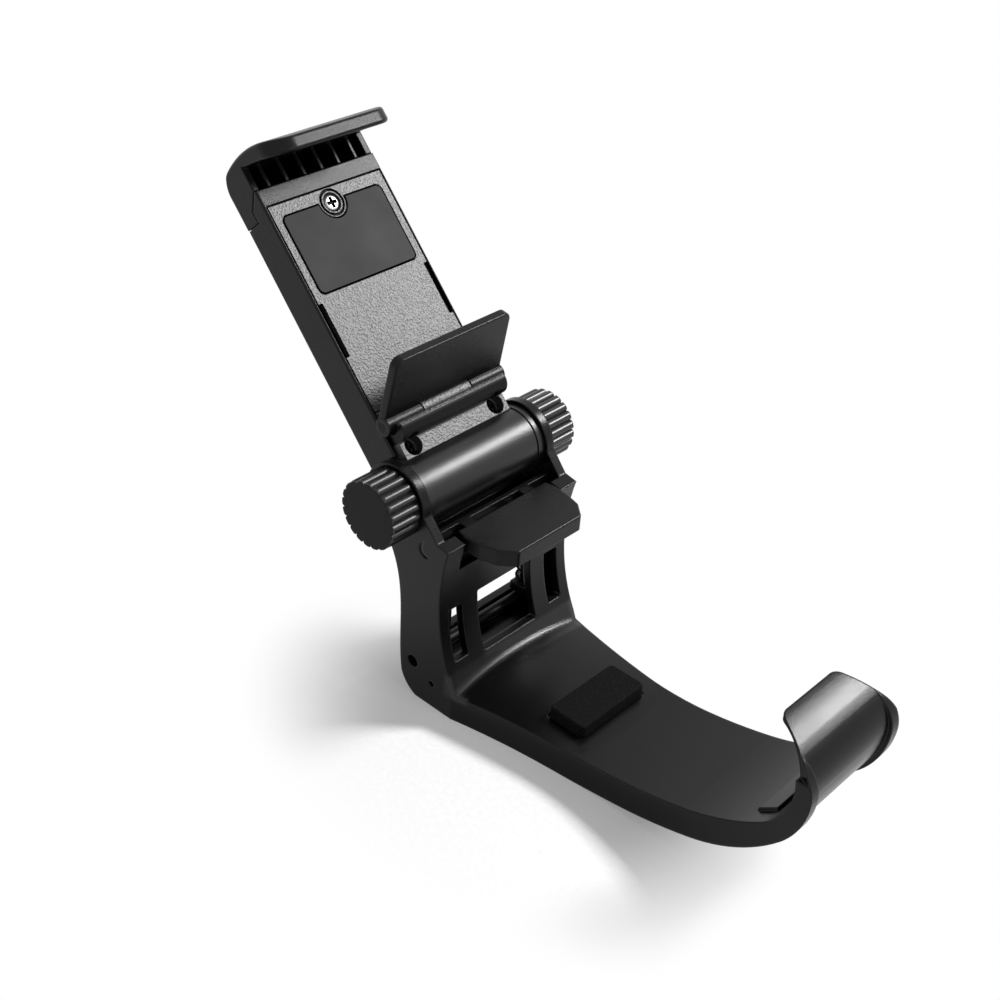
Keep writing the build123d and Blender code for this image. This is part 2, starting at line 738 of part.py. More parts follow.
def panel_zone():
    """Plan of the face panel between the hinge cover and the top border."""
    return block(PANEL_BACK_X, FACE_X, -PANEL_HALF, PANEL_HALF, COVER_TOP + PANEL_GAP, PANEL_TOP)


def label_face(grow):
    """Plan of the label with the round cut for the screw, on the holder's face."""
    height = LABEL_TO - LABEL_FROM + 2 * grow
    plate = Pos(0, (LABEL_FROM + LABEL_TO) / 2) * RectangleRounded(
        2 * (LABEL_HALF + grow), height, LABEL_CORNER
    )
    return plate - Pos(0, SCREW_Z) * Circle(LABEL_CUT_RADIUS - grow)


def on_face(shape, depth, thick):
    """A plan shape raised off the holder's face, from depth by thick."""
    plane = Plane(origin=(depth, 0, 0), x_dir=(0, 1, 0), z_dir=(1, 0, 0))
    return extrude(plane * shape, thick)


def make_face_panel():
    """Front cover of the holder, with a seat for the label and a recess for the screw."""
    panel = panel_zone()
    panel -= pair_of_blocks(-FAR, FAR, PANEL_HALF - NOTCH_DEPTH, FAR, NOTCH_FROM, NOTCH_TO)
    panel -= on_face(label_face(LABEL_GAP), FACE_X - LABEL_SINK, 1)
    panel -= stud(SCREW_HEAD + RECESS_GAP, SCREW_SEAT_X, FAR, 0, SCREW_Z)
    panel -= stud(SCREW_SHANK, -FAR, FAR, 0, SCREW_Z)
    ring = stud(SEAT_RING, FACE_X - LABEL_SINK, FAR, 0, SCREW_Z)
    panel -= ring - stud(SEAT_RING - 0.35, -FAR, FAR, 0, SCREW_Z)
    return panel


def make_label_plate():
    """Thin smooth plate, left bare."""
    return on_face(label_face(0.0), FACE_X - LABEL_SINK, LABEL_THICK)


def make_screw(y, z):
    """Pan-head screw with a cross recess."""
    seat = SCREW_SEAT_X
    head = stud(SCREW_HEAD, seat, seat + SCREW_HEAD_THICK, y, z)
    head = chamfer(head.faces().sort_by(Axis.X)[-1].edges(), 0.3)
    screw = head + stud(SCREW_SHANK, seat - SCREW_LENGTH, seat + 0.1, y, z)
    slot = SCREW_HEAD * 0.62
    top = seat + SCREW_HEAD_THICK
    for wide, tall in ((slot, 0.25), (0.25, slot)):
        screw -= block(top - 0.6, top + 1, y - wide, y + wide, z - tall, z + tall)
    return screw


def make_holder_screws():
    """The three identical screws of the holder."""
    return [make_screw(y, z) for y, z in screw_places()]


def make_hinge_cover():
    """Strip with two access holes, smooth rail, and the middle knuckle of the shelf."""
    round_from = (RAIL_FRONT - RAIL_ROUND * 0.3, RAIL_TOP - RAIL_ROUND)
    round_to = (RAIL_FRONT - RAIL_ROUND * 1.3, RAIL_TOP)
    pin_side = (SHELF_PIN_X, RAIL_TOP)
    profile = [
        Polyline(
            pin_side,
            (SHELF_PIN_X, SHELF_PIN_Z),
            (FACE_X, SHELF_PIN_Z),
            (FACE_X, COVER_TOP),
            (PANEL_BACK_X, COVER_TOP),
            (PANEL_BACK_X, STRIP_BOTTOM),
            (STRIP_FACE, STRIP_BOTTOM),
            (STRIP_FACE, RAIL_FROM),
        ),
        ThreePointArc((STRIP_FACE, RAIL_FROM), (RAIL_FRONT - RAIL_ROUND, RAIL_FROM + RAIL_ROUND), round_from),
        ThreePointArc(round_from, (RAIL_FRONT - RAIL_ROUND * 0.6, RAIL_TOP - RAIL_ROUND * 0.3), round_to),
        Line(round_to, pin_side),
    ]
    cover = slab(profile, COVER_HALF)
    cover -= both_sides(
        rod(KNUCKLE_RADIUS + HINGE_GAP, HINGE_LUG_HALF, FAR, SHELF_PIN_X, SHELF_PIN_Z)
    )
    cover += rod(KNUCKLE_RADIUS, -HINGE_LUG_HALF, HINGE_LUG_HALF, SHELF_PIN_X, SHELF_PIN_Z)
    cover += block(
        PANEL_BACK_X,
        SHELF_PIN_X,
        -HINGE_LUG_HALF,
        HINGE_LUG_HALF,
        SHELF_PIN_Z - KNUCKLE_RADIUS,
        SHELF_PIN_Z + KNUCKLE_RADIUS,
    )
    cover -= rod(BARREL_RADIUS + 0.05, -FAR, FAR)
    cover -= rod(SHELF_PIN_RADIUS + SHELF_PIN_GAP, -FAR, FAR, SHELF_PIN_X, SHELF_PIN_Z)
    for side in (-1, 1):
        cover -= stud(ACCESS_RADIUS, ACCESS_FLOOR, FAR, side * ACCESS_Y, ACCESS_Z)
        cover -= stud(SCREW_HEAD + SCREW_GAP, SCREW_SEAT_X, FAR, side * ACCESS_Y, ACCESS_Z)
        cover -= stud(SCREW_SHANK, -FAR, FAR, side * ACCESS_Y, ACCESS_Z)
    return cover


def make_shelf_pin():
    """Steel pin of the shelf hinge."""
    return rod(SHELF_PIN_RADIUS, -SHELF_HALF, SHELF_HALF, SHELF_PIN_X, SHELF_PIN_Z)


def make_phone_shelf():
    """Fold-out shelf, drawn along its own hinge and then turned to its half-open place."""
    tip = SHELF_HALF - SHELF_TAPER
    plan = make_face(
        Polyline((0, -SHELF_HALF), (SHELF_LENGTH, -tip), (SHELF_LENGTH, tip), (0, SHELF_HALF), close=True)
    )
    plan = fillet(plan.vertices().group_by(Axis.X)[-1], SHELF_CORNER)
    plate = extrude(Pos(0, 0, -SHELF_OVER) * plan, SHELF_OVER + SHELF_UNDER)
    free_edges = [edge for edge in plate.edges().filter_by(Plane.XY) if edge.center().X > KNUCKLE_RADIUS]
    plate = fillet(free_edges, SHELF_EDGE)
    shelf = plate + rod(KNUCKLE_RADIUS, -SHELF_HALF, SHELF_HALF)
    slot = HINGE_LUG_HALF + HINGE_GAP
    reach = KNUCKLE_RADIUS + HINGE_GAP
    shelf -= block(-FAR, reach, -slot, slot, -FAR, FAR)
    shelf -= rod(SHELF_PIN_RADIUS + SHELF_PIN_GAP, -FAR, FAR)
    turn = Rot(0, SHELF_ANGLE - 90, 0)
    return Pos(SHELF_PIN_X, 0, SHELF_PIN_Z) * turn * shelf


def jaw_side():
    """Side outline of the jaw, from the foot over the top to the lip and back."""
    shoulder = (JAW_SHOULDER_X, JAW_SHOULDER_Z)
    lip_middle = (JAW_LIP_MIDDLE_X, JAW_LIP_MIDDLE_Z)
    return [
        Line((JAW_WING_X, JAW_BOTTOM), (JAW_BACK_X, JAW_BOTTOM)),
        Line((JAW_BACK_X, JAW_BOTTOM), (JAW_BACK_X, JAW_FRONT_BOTTOM)),
        ThreePointArc((JAW_BACK_X, JAW_FRONT_BOTTOM), (JAW_BACK_X + JAW_BACK_BULGE, JAW_BACK_BULGE_Z), shoulder),
        Spline(shoulder, (JAW_CREST_X, JAW_TOP), (JAW_FRONT_X, JAW_FRONT_TOP)),
        Line((JAW_FRONT_X, JAW_FRONT_TOP), (JAW_FRONT_X, JAW_FRONT_BOTTOM)),
        Spline((JAW_FRONT_X, JAW_FRONT_BOTTOM), lip_middle, (JAW_LIP_X, JAW_CEILING)),
        Line((JAW_LIP_X, JAW_CEILING), (JAW_LIP_X, JAW_SLOPE_TO)),
        Line((JAW_LIP_X, JAW_SLOPE_TO), (JAW_WING_X, JAW_SLOPE_FROM)),
        Line((JAW_WING_X, JAW_SLOPE_FROM), (JAW_WING_X, JAW_BOTTOM)),
    ]


def make_top_jaw():
    """Sliding jaw with side wings, lip and inner ribs, as one moulding."""
    jaw = slab(jaw_side(), HOLDER_HALF)
    front = JAW_FRONT_X - JAW_CORNER
    plan = Pos(0, 0, JAW_BOTTOM - 1) * (
        Pos(front / 2 - FAR / 4, 0) * Rectangle(FAR / 2 + front, 2 * HOLDER_HALF)
        + Pos(front, 0) * Rectangle(2 * JAW_CORNER, 2 * (HOLDER_HALF - JAW_CORNER))
        + Pos(front, HOLDER_HALF - JAW_CORNER) * Circle(JAW_CORNER)
        + Pos(front, JAW_CORNER - HOLDER_HALF) * Circle(JAW_CORNER)
    )
    jaw &= extrude(plan, FAR)
    lip_edges = [edge for edge in jaw.edges() if edge.center().X > JAW_LIP_X + JAW_EDGE]
    jaw = fillet(lip_edges, JAW_EDGE)
    hollow = block(
        JAW_BACK_X + JAW_BACK_WALL,
        JAW_LIP_X + 1,
        JAW_WING - HOLDER_HALF,
        HOLDER_HALF - JAW_WING,
        JAW_BOTTOM + JAW_FOOT,
        JAW_CEILING,
    )
    for y in JAW_RIBS:
        hollow -= pair_of_blocks(-FAR, FAR, y - JAW_RIB / 2, y + JAW_RIB / 2, -FAR, FAR)
    jaw -= hollow
    for side in (-1, 1):
        jaw -= post(ROD_RADIUS, JAW_BOTTOM - 1, JAW_BOTTOM + ROD_SINK, ROD_X, side * ROD_Y)
    return jaw


def make_jaw_rod(side):
    """Guide rod fixed in the foot of the jaw."""
    return post(ROD_RADIUS, ROD_BOTTOM, JAW_BOTTOM + ROD_SINK, ROD_X, side * ROD_Y)


def make_rod_clips():
    """Retaining rings on the lower ends of the two rods."""
    bottom = ROD_BOTTOM + CLIP_RISE
    ring = post(CLIP_RADIUS, bottom, bottom + CLIP_THICK, ROD_X, ROD_Y)
    ring -= post(ROD_RADIUS, bottom - 1, bottom + CLIP_THICK + 1, ROD_X, ROD_Y)
    return [ring, mirror(ring, Plane.XZ)]


def make_jaw_spring(side):
    """Spring around a guide rod, between its ring and the step wall of the shell."""
    return coil(
        JAW_SPRING_RADIUS,
        JAW_WIRE,
        JAW_SPRING_TURNS,
        ROD_BOTTOM + CLIP_RISE + CLIP_THICK + SPRING_SEAT_GAP,
        STEP_Z - STEP_WALL - SPRING_SEAT_GAP,
        ROD_X,
        side * ROD_Y,
    )


def solids_of(shape):
    """The separate solids of a piece."""
    parts = shape if isinstance(shape, list) else [shape]
    found = []
    for part in parts:
        found.extend(part.solids())
    return found


def pieces():
    """Every node by name, in place about the pivot."""
    upright = {
        "base_frame": make_base_frame(),
        "saddle_pad": make_saddle_pad(),
        "stop_pin": make_stop_pin(),
        "clamp_tab": make_clamp_tab(),
        "clamp_spring_left": make_clamp_spring(-1),
        "clamp_spring_right": make_clamp_spring(1),
        "pivot_bolt": make_pivot_bolt(),
        "pivot_nut": make_pivot_nut(),
        "knob_left": make_knob(-1),
        "knob_right": make_knob(1),
        "washer_left": make_washer(-1),
        "washer_right": make_washer(1),
    }
    leaning = {
        "holder_shell": make_holder_shell(),
        "face_panel": make_face_panel(),
        "label_plate": make_label_plate(),
        "holder_screws": make_holder_screws(),
        "hinge_cover": make_hinge_cover(),
        "shelf_pin": make_shelf_pin(),
        "phone_shelf": make_phone_shelf(),
        "top_jaw": make_top_jaw(),
        "jaw_rod_left": make_jaw_rod(-1),
        "jaw_rod_right": make_jaw_rod(1),
        "rod_clips": make_rod_clips(),
        "jaw_spring_left": make_jaw_spring(-1),
        "jaw_spring_right": make_jaw_spring(1),
    }
    placed = {name: solids_of(shape) for name, shape in upright.items()}
    for name, shape in leaning.items():
        placed[name] = [HOLDER_LEAN * solid for solid in solids_of(shape)]
    return placed


def main():
    """Write each piece, moved so that the middle of its footprint is the origin."""
    placed = pieces()
    boxes = [solid.bounding_box() for group in placed.values() for solid in group]
    low = [min(getattr(box.min, axis) for box in boxes) for axis in "XYZ"]
    high = [max(getattr(box.max, axis) for box in boxes) for axis in "XYZ"]
    shift = Pos(-(low[0] + high[0]) / 2, -(low[1] + high[1]) / 2, -low[2])
    os.makedirs("parts", exist_ok=True)
    for name, group in placed.items():
        moved = [shift * solid for solid in group]
        node = moved[0] if len(moved) == 1 else Compound(moved)
        export_step(node, f"parts/{name}.step")
    places = {
        "pivot": (0, 0, 0),
        "shelf hinge": (HOLDER_LEAN * Pos(SHELF_PIN_X, 0, SHELF_PIN_Z)).position,
        "jaw": (HOLDER_LEAN * Pos(ROD_X, 0, STEP_Z)).position,
        "clamp": (CLAMP_SPRING_X, 0, FOOT_TOP),
        "bottom": (0, 0, BOTTOM_Z),
    }
    for name, place in places.items():
        print(name, [round(value, 3) for value in (shift * Pos(*place)).position])
    print("size", [round(top - bottom, 2) for bottom, top in zip(low, high)])


main()
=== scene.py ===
# %% [markdown]
# # A clip that holds a phone above a game controller
# The solids come from the CAD model and stay where they are. This notebook dresses them: it gives
# each moulding its finish, remakes the pieces whose small round forms catch the light, and sets up
# a plain studio. Before each step, a few words say what the piece is on the real object.

# %% Load the frame
import json
import math

import bmesh
import bpy
from mathutils import Matrix, Vector

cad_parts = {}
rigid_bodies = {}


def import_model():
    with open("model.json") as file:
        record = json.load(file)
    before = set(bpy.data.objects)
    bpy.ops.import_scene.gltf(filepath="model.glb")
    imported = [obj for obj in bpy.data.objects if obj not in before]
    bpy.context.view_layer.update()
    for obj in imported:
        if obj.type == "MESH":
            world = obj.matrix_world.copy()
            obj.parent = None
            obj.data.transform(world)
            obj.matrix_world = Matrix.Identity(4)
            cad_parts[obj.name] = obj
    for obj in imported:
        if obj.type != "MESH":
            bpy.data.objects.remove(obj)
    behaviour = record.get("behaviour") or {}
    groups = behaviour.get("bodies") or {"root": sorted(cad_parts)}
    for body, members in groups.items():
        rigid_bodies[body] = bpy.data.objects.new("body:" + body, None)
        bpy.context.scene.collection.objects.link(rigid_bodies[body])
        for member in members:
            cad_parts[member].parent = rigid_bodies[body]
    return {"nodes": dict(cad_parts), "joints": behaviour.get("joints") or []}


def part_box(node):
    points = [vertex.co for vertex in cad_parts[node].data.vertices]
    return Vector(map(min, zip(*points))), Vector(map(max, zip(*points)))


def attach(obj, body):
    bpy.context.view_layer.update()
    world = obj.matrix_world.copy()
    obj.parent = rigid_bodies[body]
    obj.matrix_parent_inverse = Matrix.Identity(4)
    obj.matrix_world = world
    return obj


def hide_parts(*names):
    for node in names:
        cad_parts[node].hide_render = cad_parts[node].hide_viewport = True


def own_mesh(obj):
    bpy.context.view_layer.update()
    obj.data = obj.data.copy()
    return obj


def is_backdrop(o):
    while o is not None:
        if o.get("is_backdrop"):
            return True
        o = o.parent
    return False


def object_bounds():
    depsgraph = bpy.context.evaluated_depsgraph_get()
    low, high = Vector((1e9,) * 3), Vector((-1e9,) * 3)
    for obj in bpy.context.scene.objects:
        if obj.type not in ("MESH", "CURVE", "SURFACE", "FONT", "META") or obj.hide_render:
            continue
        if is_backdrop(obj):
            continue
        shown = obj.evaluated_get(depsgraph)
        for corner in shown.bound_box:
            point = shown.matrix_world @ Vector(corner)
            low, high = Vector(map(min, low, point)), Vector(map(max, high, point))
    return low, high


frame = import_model()
NODES = frame["nodes"]
JOINTS = {joint["name"]: joint for joint in frame["joints"]}
CAD_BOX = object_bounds()
MM = 0.001
scene = bpy.context.scene
print("nodes", len(NODES), "box", [round(v, 4) for v in (*CAD_BOX[0], *CAD_BOX[1])])

# %% [markdown]
# ## Directions of the object
# The knobs turn about one line along Y, and the jaw slides along the lean of the holder. Both come
# from the joints of the frame, so pieces that are remade here sit where the CAD puts them.

# %% Read the main directions
PIVOT = Vector(JOINTS["holder_tilt"]["pos_m"])
ALONG = Vector(JOINTS["jaw_slide"]["axis"]).normalized()
OUTWARD = Vector((ALONG.z, 0, -ALONG.x))
ACROSS = Vector((0, 1, 0))
CENTRE = (CAD_BOX[0] + CAD_BOX[1]) / 2


def reach(name, direction):
    """Nearest and farthest place of a CAD node along a direction."""
    places = [vertex.co.dot(direction) for vertex in NODES[name].data.vertices]
    return min(places), max(places)


def middle(name):
    """Middle of a CAD node's box."""
    low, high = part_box(name)
    return (Vector(low) + Vector(high)) / 2


LEAN = math.atan2(ALONG.x, ALONG.z)
print("pivot", [round(v, 4) for v in PIVOT], "lean", round(-math.degrees(LEAN), 1))

# %% [markdown]
# ## The camera
# The photograph looks down on the clip from its right front, with the picture turned a few degrees.
# A camera can be set by angles, but here its three directions are known, so they are written as the
# rows of a matrix: right, up and backwards.

# %% Set the camera
FOCUS = Vector((0.18054, -0.2258, 0.24931))
LOOK = Vector((-0.5387, 0.6286, -0.561)).normalized()
SKYWARD = Vector((-0.4181, 0.3786, 0.8258))
RIGHT = LOOK.cross(SKYWARD).normalized()
UPWARD = RIGHT.cross(LOOK)
LENS_MM = 57.0
SENSOR_MM = 36.0
NEAREST = 0.01
FARTHEST = 20.0

camera_data = bpy.data.cameras.new("camera")
camera_data.lens = LENS_MM
camera_data.sensor_width = SENSOR_MM
camera_data.clip_start = NEAREST
camera_data.clip_end = FARTHEST
camera = bpy.data.objects.new("camera", camera_data)
scene.collection.objects.link(camera)
turn = Matrix((RIGHT, UPWARD, -LOOK)).transposed()
camera.matrix_world = Matrix.Translation(FOCUS) @ turn.to_4x4()
scene.camera = camera
print("camera at", [round(v, 3) for v in FOCUS])

# %% [markdown]
# ## Lamps
# Black plastic shows its form by what it mirrors. The main lamp hangs high behind the clip, so its
# picture lies as a soft band along the barrel and over the hook. It also draws the grain of the
# face panel and lays the shadows on the floor. Two weaker ones, at the side and in front, keep the
# other faces from going black.

# %% Set the lamps
LAMPS = {
    "overhead": {"toward": (0.34, 0.7, 0.63), "distance": 0.75, "size": 0.17, "power": 6.4},
    "side": {"toward": (0.85, 0.1, 0.5), "distance": 0.8, "size": 0.3, "power": 0.9},
    "fill": {"toward": (0.2, -0.85, 0.5), "distance": 0.9, "size": 0.7, "power": 0.35},
}


def add_lamp(name, toward, distance, size, power):
    """A square lamp that faces the middle of the clip."""
    data = bpy.data.lights.new(name, "AREA")
    data.shape = "SQUARE"
    data.size = size
    data.energy = power
    lamp = bpy.data.objects.new(name, data)
    scene.collection.objects.link(lamp)
    direction = Vector(toward).normalized()
    lamp.location = CENTRE + direction * distance
    lamp.rotation_mode = "QUATERNION"
    lamp.rotation_quaternion = (-direction).to_track_quat("-Z", "Y")


for name, setting in LAMPS.items():
    add_lamp(name, **setting)
scene.view_settings.view_transform = "Standard"
print("lamps", len(LAMPS))

# %% [markdown]
# ## World and floor
# The background of the photograph is pure white. The world is white where the camera or a mirror
# looks at it, and grey where it only lights.

# %% Set the world
WORLD_GREY = 0.17
WHITE = (1, 1, 1, 1)


def link(tree, source, target):
    """Join two sockets of a node tree."""
    tree.links.new(source, target)


def calculate(tree, operation, *values):
    """A Math node on sockets or numbers."""
    node = tree.nodes.new("ShaderNodeMath")
    node.operation = operation
    for socket, value in zip(node.inputs, values):
        if isinstance(value, (int, float)):
            socket.default_value = value
        else:
            link(tree, value, socket)
    return node.outputs[0]


def seen_directly(tree):
    """1 where the camera or a mirrored or refracted ray looks, 0 where light is only gathered."""
    path = tree.nodes.new("ShaderNodeLightPath")
    total = path.outputs["Is Camera Ray"]
    for other in ("Is Glossy Ray", "Is Transmission Ray"):
        total = calculate(tree, "MAXIMUM", total, path.outputs[other])
    return total


world = bpy.data.worlds.new("studio")
scene.world = world
world.use_nodes = True
tree = world.node_tree
tree.nodes.clear()
output = tree.nodes.new("ShaderNodeOutputWorld")
mix = tree.nodes.new("ShaderNodeMixShader")
lights_only = tree.nodes.new("ShaderNodeBackground")
lights_only.inputs["Strength"].default_value = WORLD_GREY
white = tree.nodes.new("ShaderNodeBackground")
white.inputs["Color"].default_value = WHITE
white.inputs["Strength"].default_value = 1.0
link(tree, seen_directly(tree), mix.inputs["Fac"])
link(tree, lights_only.outputs[0], mix.inputs[1])
link(tree, white.outputs[0], mix.inputs[2])
link(tree, mix.outputs[0], output.inputs["Surface"])
print("world grey", WORLD_GREY)

# %% [markdown]
# The floor is a disc of white matte paper that receives the shadows. Where the camera or a mirror
# looks at it, it also glows a little, and away from the clip it fades to the white of the world, so
# that no edge shows. This white glow also paints out the far part of the shadows. The fade follows
# an ellipse round the shadows, set by a Mapping node.

# %% Lay the floor
FLOOR_RADIUS = 1.5
FLOOR_SIDES = 64
FLOOR_DARK = 0.78
FLOOR_PALE = 0.98
FLOOR_GLOW = 0.24
FLOOR_FIBRES = 900.0
FIBRE_DETAIL = 3.0
FADE_CENTRE = (0.012, -0.018, 0)
FADE_REACH = (0.062, 0.042, 1)
FADE_FROM = 0.5
FADE_TO = 1.25

floor_mesh = bpy.data.meshes.new("floor")
disc = bmesh.new()
bmesh.ops.create_circle(disc, cap_ends=True, segments=FLOOR_SIDES, radius=FLOOR_RADIUS)
disc.to_mesh(floor_mesh)
disc.free()
floor = bpy.data.objects.new("floor", floor_mesh)
scene.collection.objects.link(floor)
paint = bpy.data.materials.new("white_floor")
floor_mesh.materials.append(paint)
paint.use_nodes = True
tree = paint.node_tree
tree.nodes.clear()
output = tree.nodes.new("ShaderNodeOutputMaterial")
matte_white = tree.nodes.new("ShaderNodeBsdfDiffuse")
fibres = tree.nodes.new("ShaderNodeTexNoise")
fibres.inputs["Scale"].default_value = FLOOR_FIBRES
fibres.inputs["Detail"].default_value = FIBRE_DETAIL
shades = tree.nodes.new("ShaderNodeMix")
shades.data_type = "RGBA"
shades.inputs["A"].default_value = (FLOOR_DARK, FLOOR_DARK, FLOOR_DARK, 1)
shades.inputs["B"].default_value = (FLOOR_PALE, FLOOR_PALE, FLOOR_PALE, 1)
link(tree, fibres.outputs["Fac"], shades.inputs["Factor"])
link(tree, shades.outputs["Result"], matte_white.inputs["Color"])
glow = tree.nodes.new("ShaderNodeEmission")
where = tree.nodes.new("ShaderNodeTexCoord")
patch = tree.nodes.new("ShaderNodeMapping")
patch.vector_type = "TEXTURE"
patch.inputs["Location"].default_value = FADE_CENTRE
patch.inputs["Scale"].default_value = FADE_REACH
link(tree, where.outputs["Object"], patch.inputs["Vector"])
link(tree, where.outputs["Object"], fibres.inputs["Vector"])
away = tree.nodes.new("ShaderNodeVectorMath")
away.operation = "LENGTH"
link(tree, patch.outputs["Vector"], away.inputs[0])
fade = tree.nodes.new("ShaderNodeMapRange")
fade.interpolation_type = "SMOOTHSTEP"
fade.inputs["From Min"].default_value = FADE_FROM
fade.inputs["From Max"].default_value = FADE_TO
link(tree, away.outputs["Value"], fade.inputs["Value"])
seen = seen_directly(tree)
near_glow = tree.nodes.new("ShaderNodeEmission")
link(tree, calculate(tree, "MULTIPLY", seen, FLOOR_GLOW), near_glow.inputs["Strength"])
near = tree.nodes.new("ShaderNodeAddShader")
link(tree, matte_white.outputs[0], near.inputs[0])
link(tree, near_glow.outputs[0], near.inputs[1])
# Away from the clip the white glow takes over and paints out the far part of the shadows.
mix = tree.nodes.new("ShaderNodeMixShader")
link(tree, calculate(tree, "MULTIPLY", seen, fade.outputs["Result"]), mix.inputs["Fac"])
link(tree, near.outputs[0], mix.inputs[1])
link(tree, glow.outputs[0], mix.inputs[2])
link(tree, mix.outputs[0], output.inputs["Surface"])
floor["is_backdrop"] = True
print("floor radius", FLOOR_RADIUS)

# %% [markdown]
# ## Finishes
# A moulded plastic is one colour all through, so its look is in its surface: a fine grain left by
# the mould, and edges that are never quite sharp. The grain is a bump from a noise texture at its
# real size. The edges are rounded in shading by the Bevel node, which catches the light on each
# edge without changing the mesh.

# %% Define how a moulding is painted
BEVEL_SAMPLES = 8
GAP_SAMPLES = 6
GAP_CLOSED = 0.35
GAP_OPEN = 0.85
DUST_REACH_MM = 0.6
GRAIN_DETAIL = 3.0
GRAIN_ROUGHNESS = 0.6
CLOUD_MM = 9.0
CLOUD_DETAIL = 2.0
GLOSS_CHANGE = 0.04


def new_material(name):
    """An empty node material with its tree and its principled shader."""
    made = bpy.data.materials.new(name)
    made.use_nodes = True
    return made, made.node_tree, made.node_tree.nodes["Principled BSDF"]


def place_texture(tree, kind, size_mm, **inputs):
    """A texture whose features are about size_mm wide, on the object's own coordinates."""
    where = tree.nodes.new("ShaderNodeTexCoord")
    texture = tree.nodes.new(kind)
    texture.inputs["Scale"].default_value = 1.0 / (size_mm * MM)
    for key, value in inputs.items():
        texture.inputs[key].default_value = value
    link(tree, where.outputs["Object"], texture.inputs["Vector"])
    return texture


def rounded_normal(tree, radius_mm):
    """A normal that is rounded over the edges of the mesh. The radius may change with the place."""
    bevel = tree.nodes.new("ShaderNodeBevel")
    bevel.samples = BEVEL_SAMPLES
    if isinstance(radius_mm, bpy.types.NodeSocket):
        link(tree, calculate(tree, "MULTIPLY", radius_mm, MM), bevel.inputs["Radius"])
    else:
        bevel.inputs["Radius"].default_value = radius_mm * MM
    return bevel.outputs["Normal"]


def add_bump(tree, height, depth_mm, normal):
    """A bump of a real depth on top of a normal."""
    bump = tree.nodes.new("ShaderNodeBump")
    bump.inputs["Distance"].default_value = depth_mm * MM
    bump.inputs["Strength"].default_value = 1.0
    link(tree, height, bump.inputs["Height"])
    link(tree, normal, bump.inputs["Normal"])
    return bump.outputs["Normal"]


def spread(tree, value, low, high, start=0.0, stop=1.0):
    """A value mapped from one range to another."""
    node = tree.nodes.new("ShaderNodeMapRange")
    node.inputs["From Min"].default_value = start
    node.inputs["From Max"].default_value = stop
    node.inputs["To Min"].default_value = low
    node.inputs["To Max"].default_value = high
    link(tree, value, node.inputs["Value"])
    return node.outputs["Result"]


def between(tree, value, low, high, soft):
    """1 inside a range of a value and 0 outside, with soft ends."""
    rise = spread(tree, value, 0.0, 1.0, low - soft, low + soft)
    fall = spread(tree, value, 1.0, 0.0, high - soft, high + soft)
    return calculate(tree, "MULTIPLY", rise, fall)


def in_the_open(tree, reach_mm):
    """1 on free surfaces and less in gaps and corners, where dust dulls the gloss."""
    open_sky = tree.nodes.new("ShaderNodeAmbientOcclusion")
    open_sky.samples = GAP_SAMPLES
    open_sky.inputs["Distance"].default_value = reach_mm * MM
    return open_sky.outputs["AO"]


def dulled(tree, rough, reach_mm):
    """Roughness that rises to a full matte in gaps and corners."""
    free = in_the_open(tree, reach_mm)
    share = spread(tree, free, 1.0, 0.0, GAP_CLOSED, GAP_OPEN)
    left = calculate(tree, "SUBTRACT", 1.0, rough)
    return calculate(tree, "MULTIPLY_ADD", left, share, rough)


def moulded(
    tree, shader, color, rough, sheen, grain_mm, grain_depth_mm, edge_mm, dust_mm=DUST_REACH_MM
):
    """Sets a shader up as a moulding with a fine grain and slightly uneven gloss."""
    shader.inputs["Base Color"].default_value = (*color, 1)
    shader.inputs["Specular IOR Level"].default_value = sheen
    grain = place_texture(
        tree, "ShaderNodeTexNoise", grain_mm, Detail=GRAIN_DETAIL, Roughness=GRAIN_ROUGHNESS
    )
    cloud = place_texture(tree, "ShaderNodeTexNoise", CLOUD_MM, Detail=CLOUD_DETAIL)
    normal = rounded_normal(tree, edge_mm)
    normal = add_bump(tree, grain.outputs["Fac"], grain_depth_mm, normal)
    link(tree, normal, shader.inputs["Normal"])
    gloss = spread(tree, cloud.outputs["Fac"], rough - GLOSS_CHANGE, rough + GLOSS_CHANGE)
    if dust_mm:
        gloss = dulled(tree, gloss, dust_mm)
    link(tree, gloss, shader.inputs["Roughness"])


def moulded_plastic(name, **finish):
    """A material of one moulded finish."""
    made, tree, shader = new_material(name)
    moulded(tree, shader, **finish)
    return made


def mixed_in(tree, first, mask):
    """A second shader that takes over from the first where the mask is 1."""
    second = tree.nodes.new("ShaderNodeBsdfPrincipled")
    mix = tree.nodes.new("ShaderNodeMixShader")
    link(tree, mask, mix.inputs["Fac"])
    link(tree, first.outputs[0], mix.inputs[1])
    link(tree, second.outputs[0], mix.inputs[2])
    out = next(node for node in tree.nodes if node.bl_idname == "ShaderNodeOutputMaterial")
    link(tree, mix.outputs[0], out.inputs["Surface"])
    return second


print("a bevel looks", BEVEL_SAMPLES, "times")

# %% [markdown]
# Four plastics differ only in these numbers: how rough and how shiny they are, how wide and deep
# their grain is, and how far their edges are rounded. The flutes of the knobs are the smoothest,
# and the end faces of the knobs are matte.

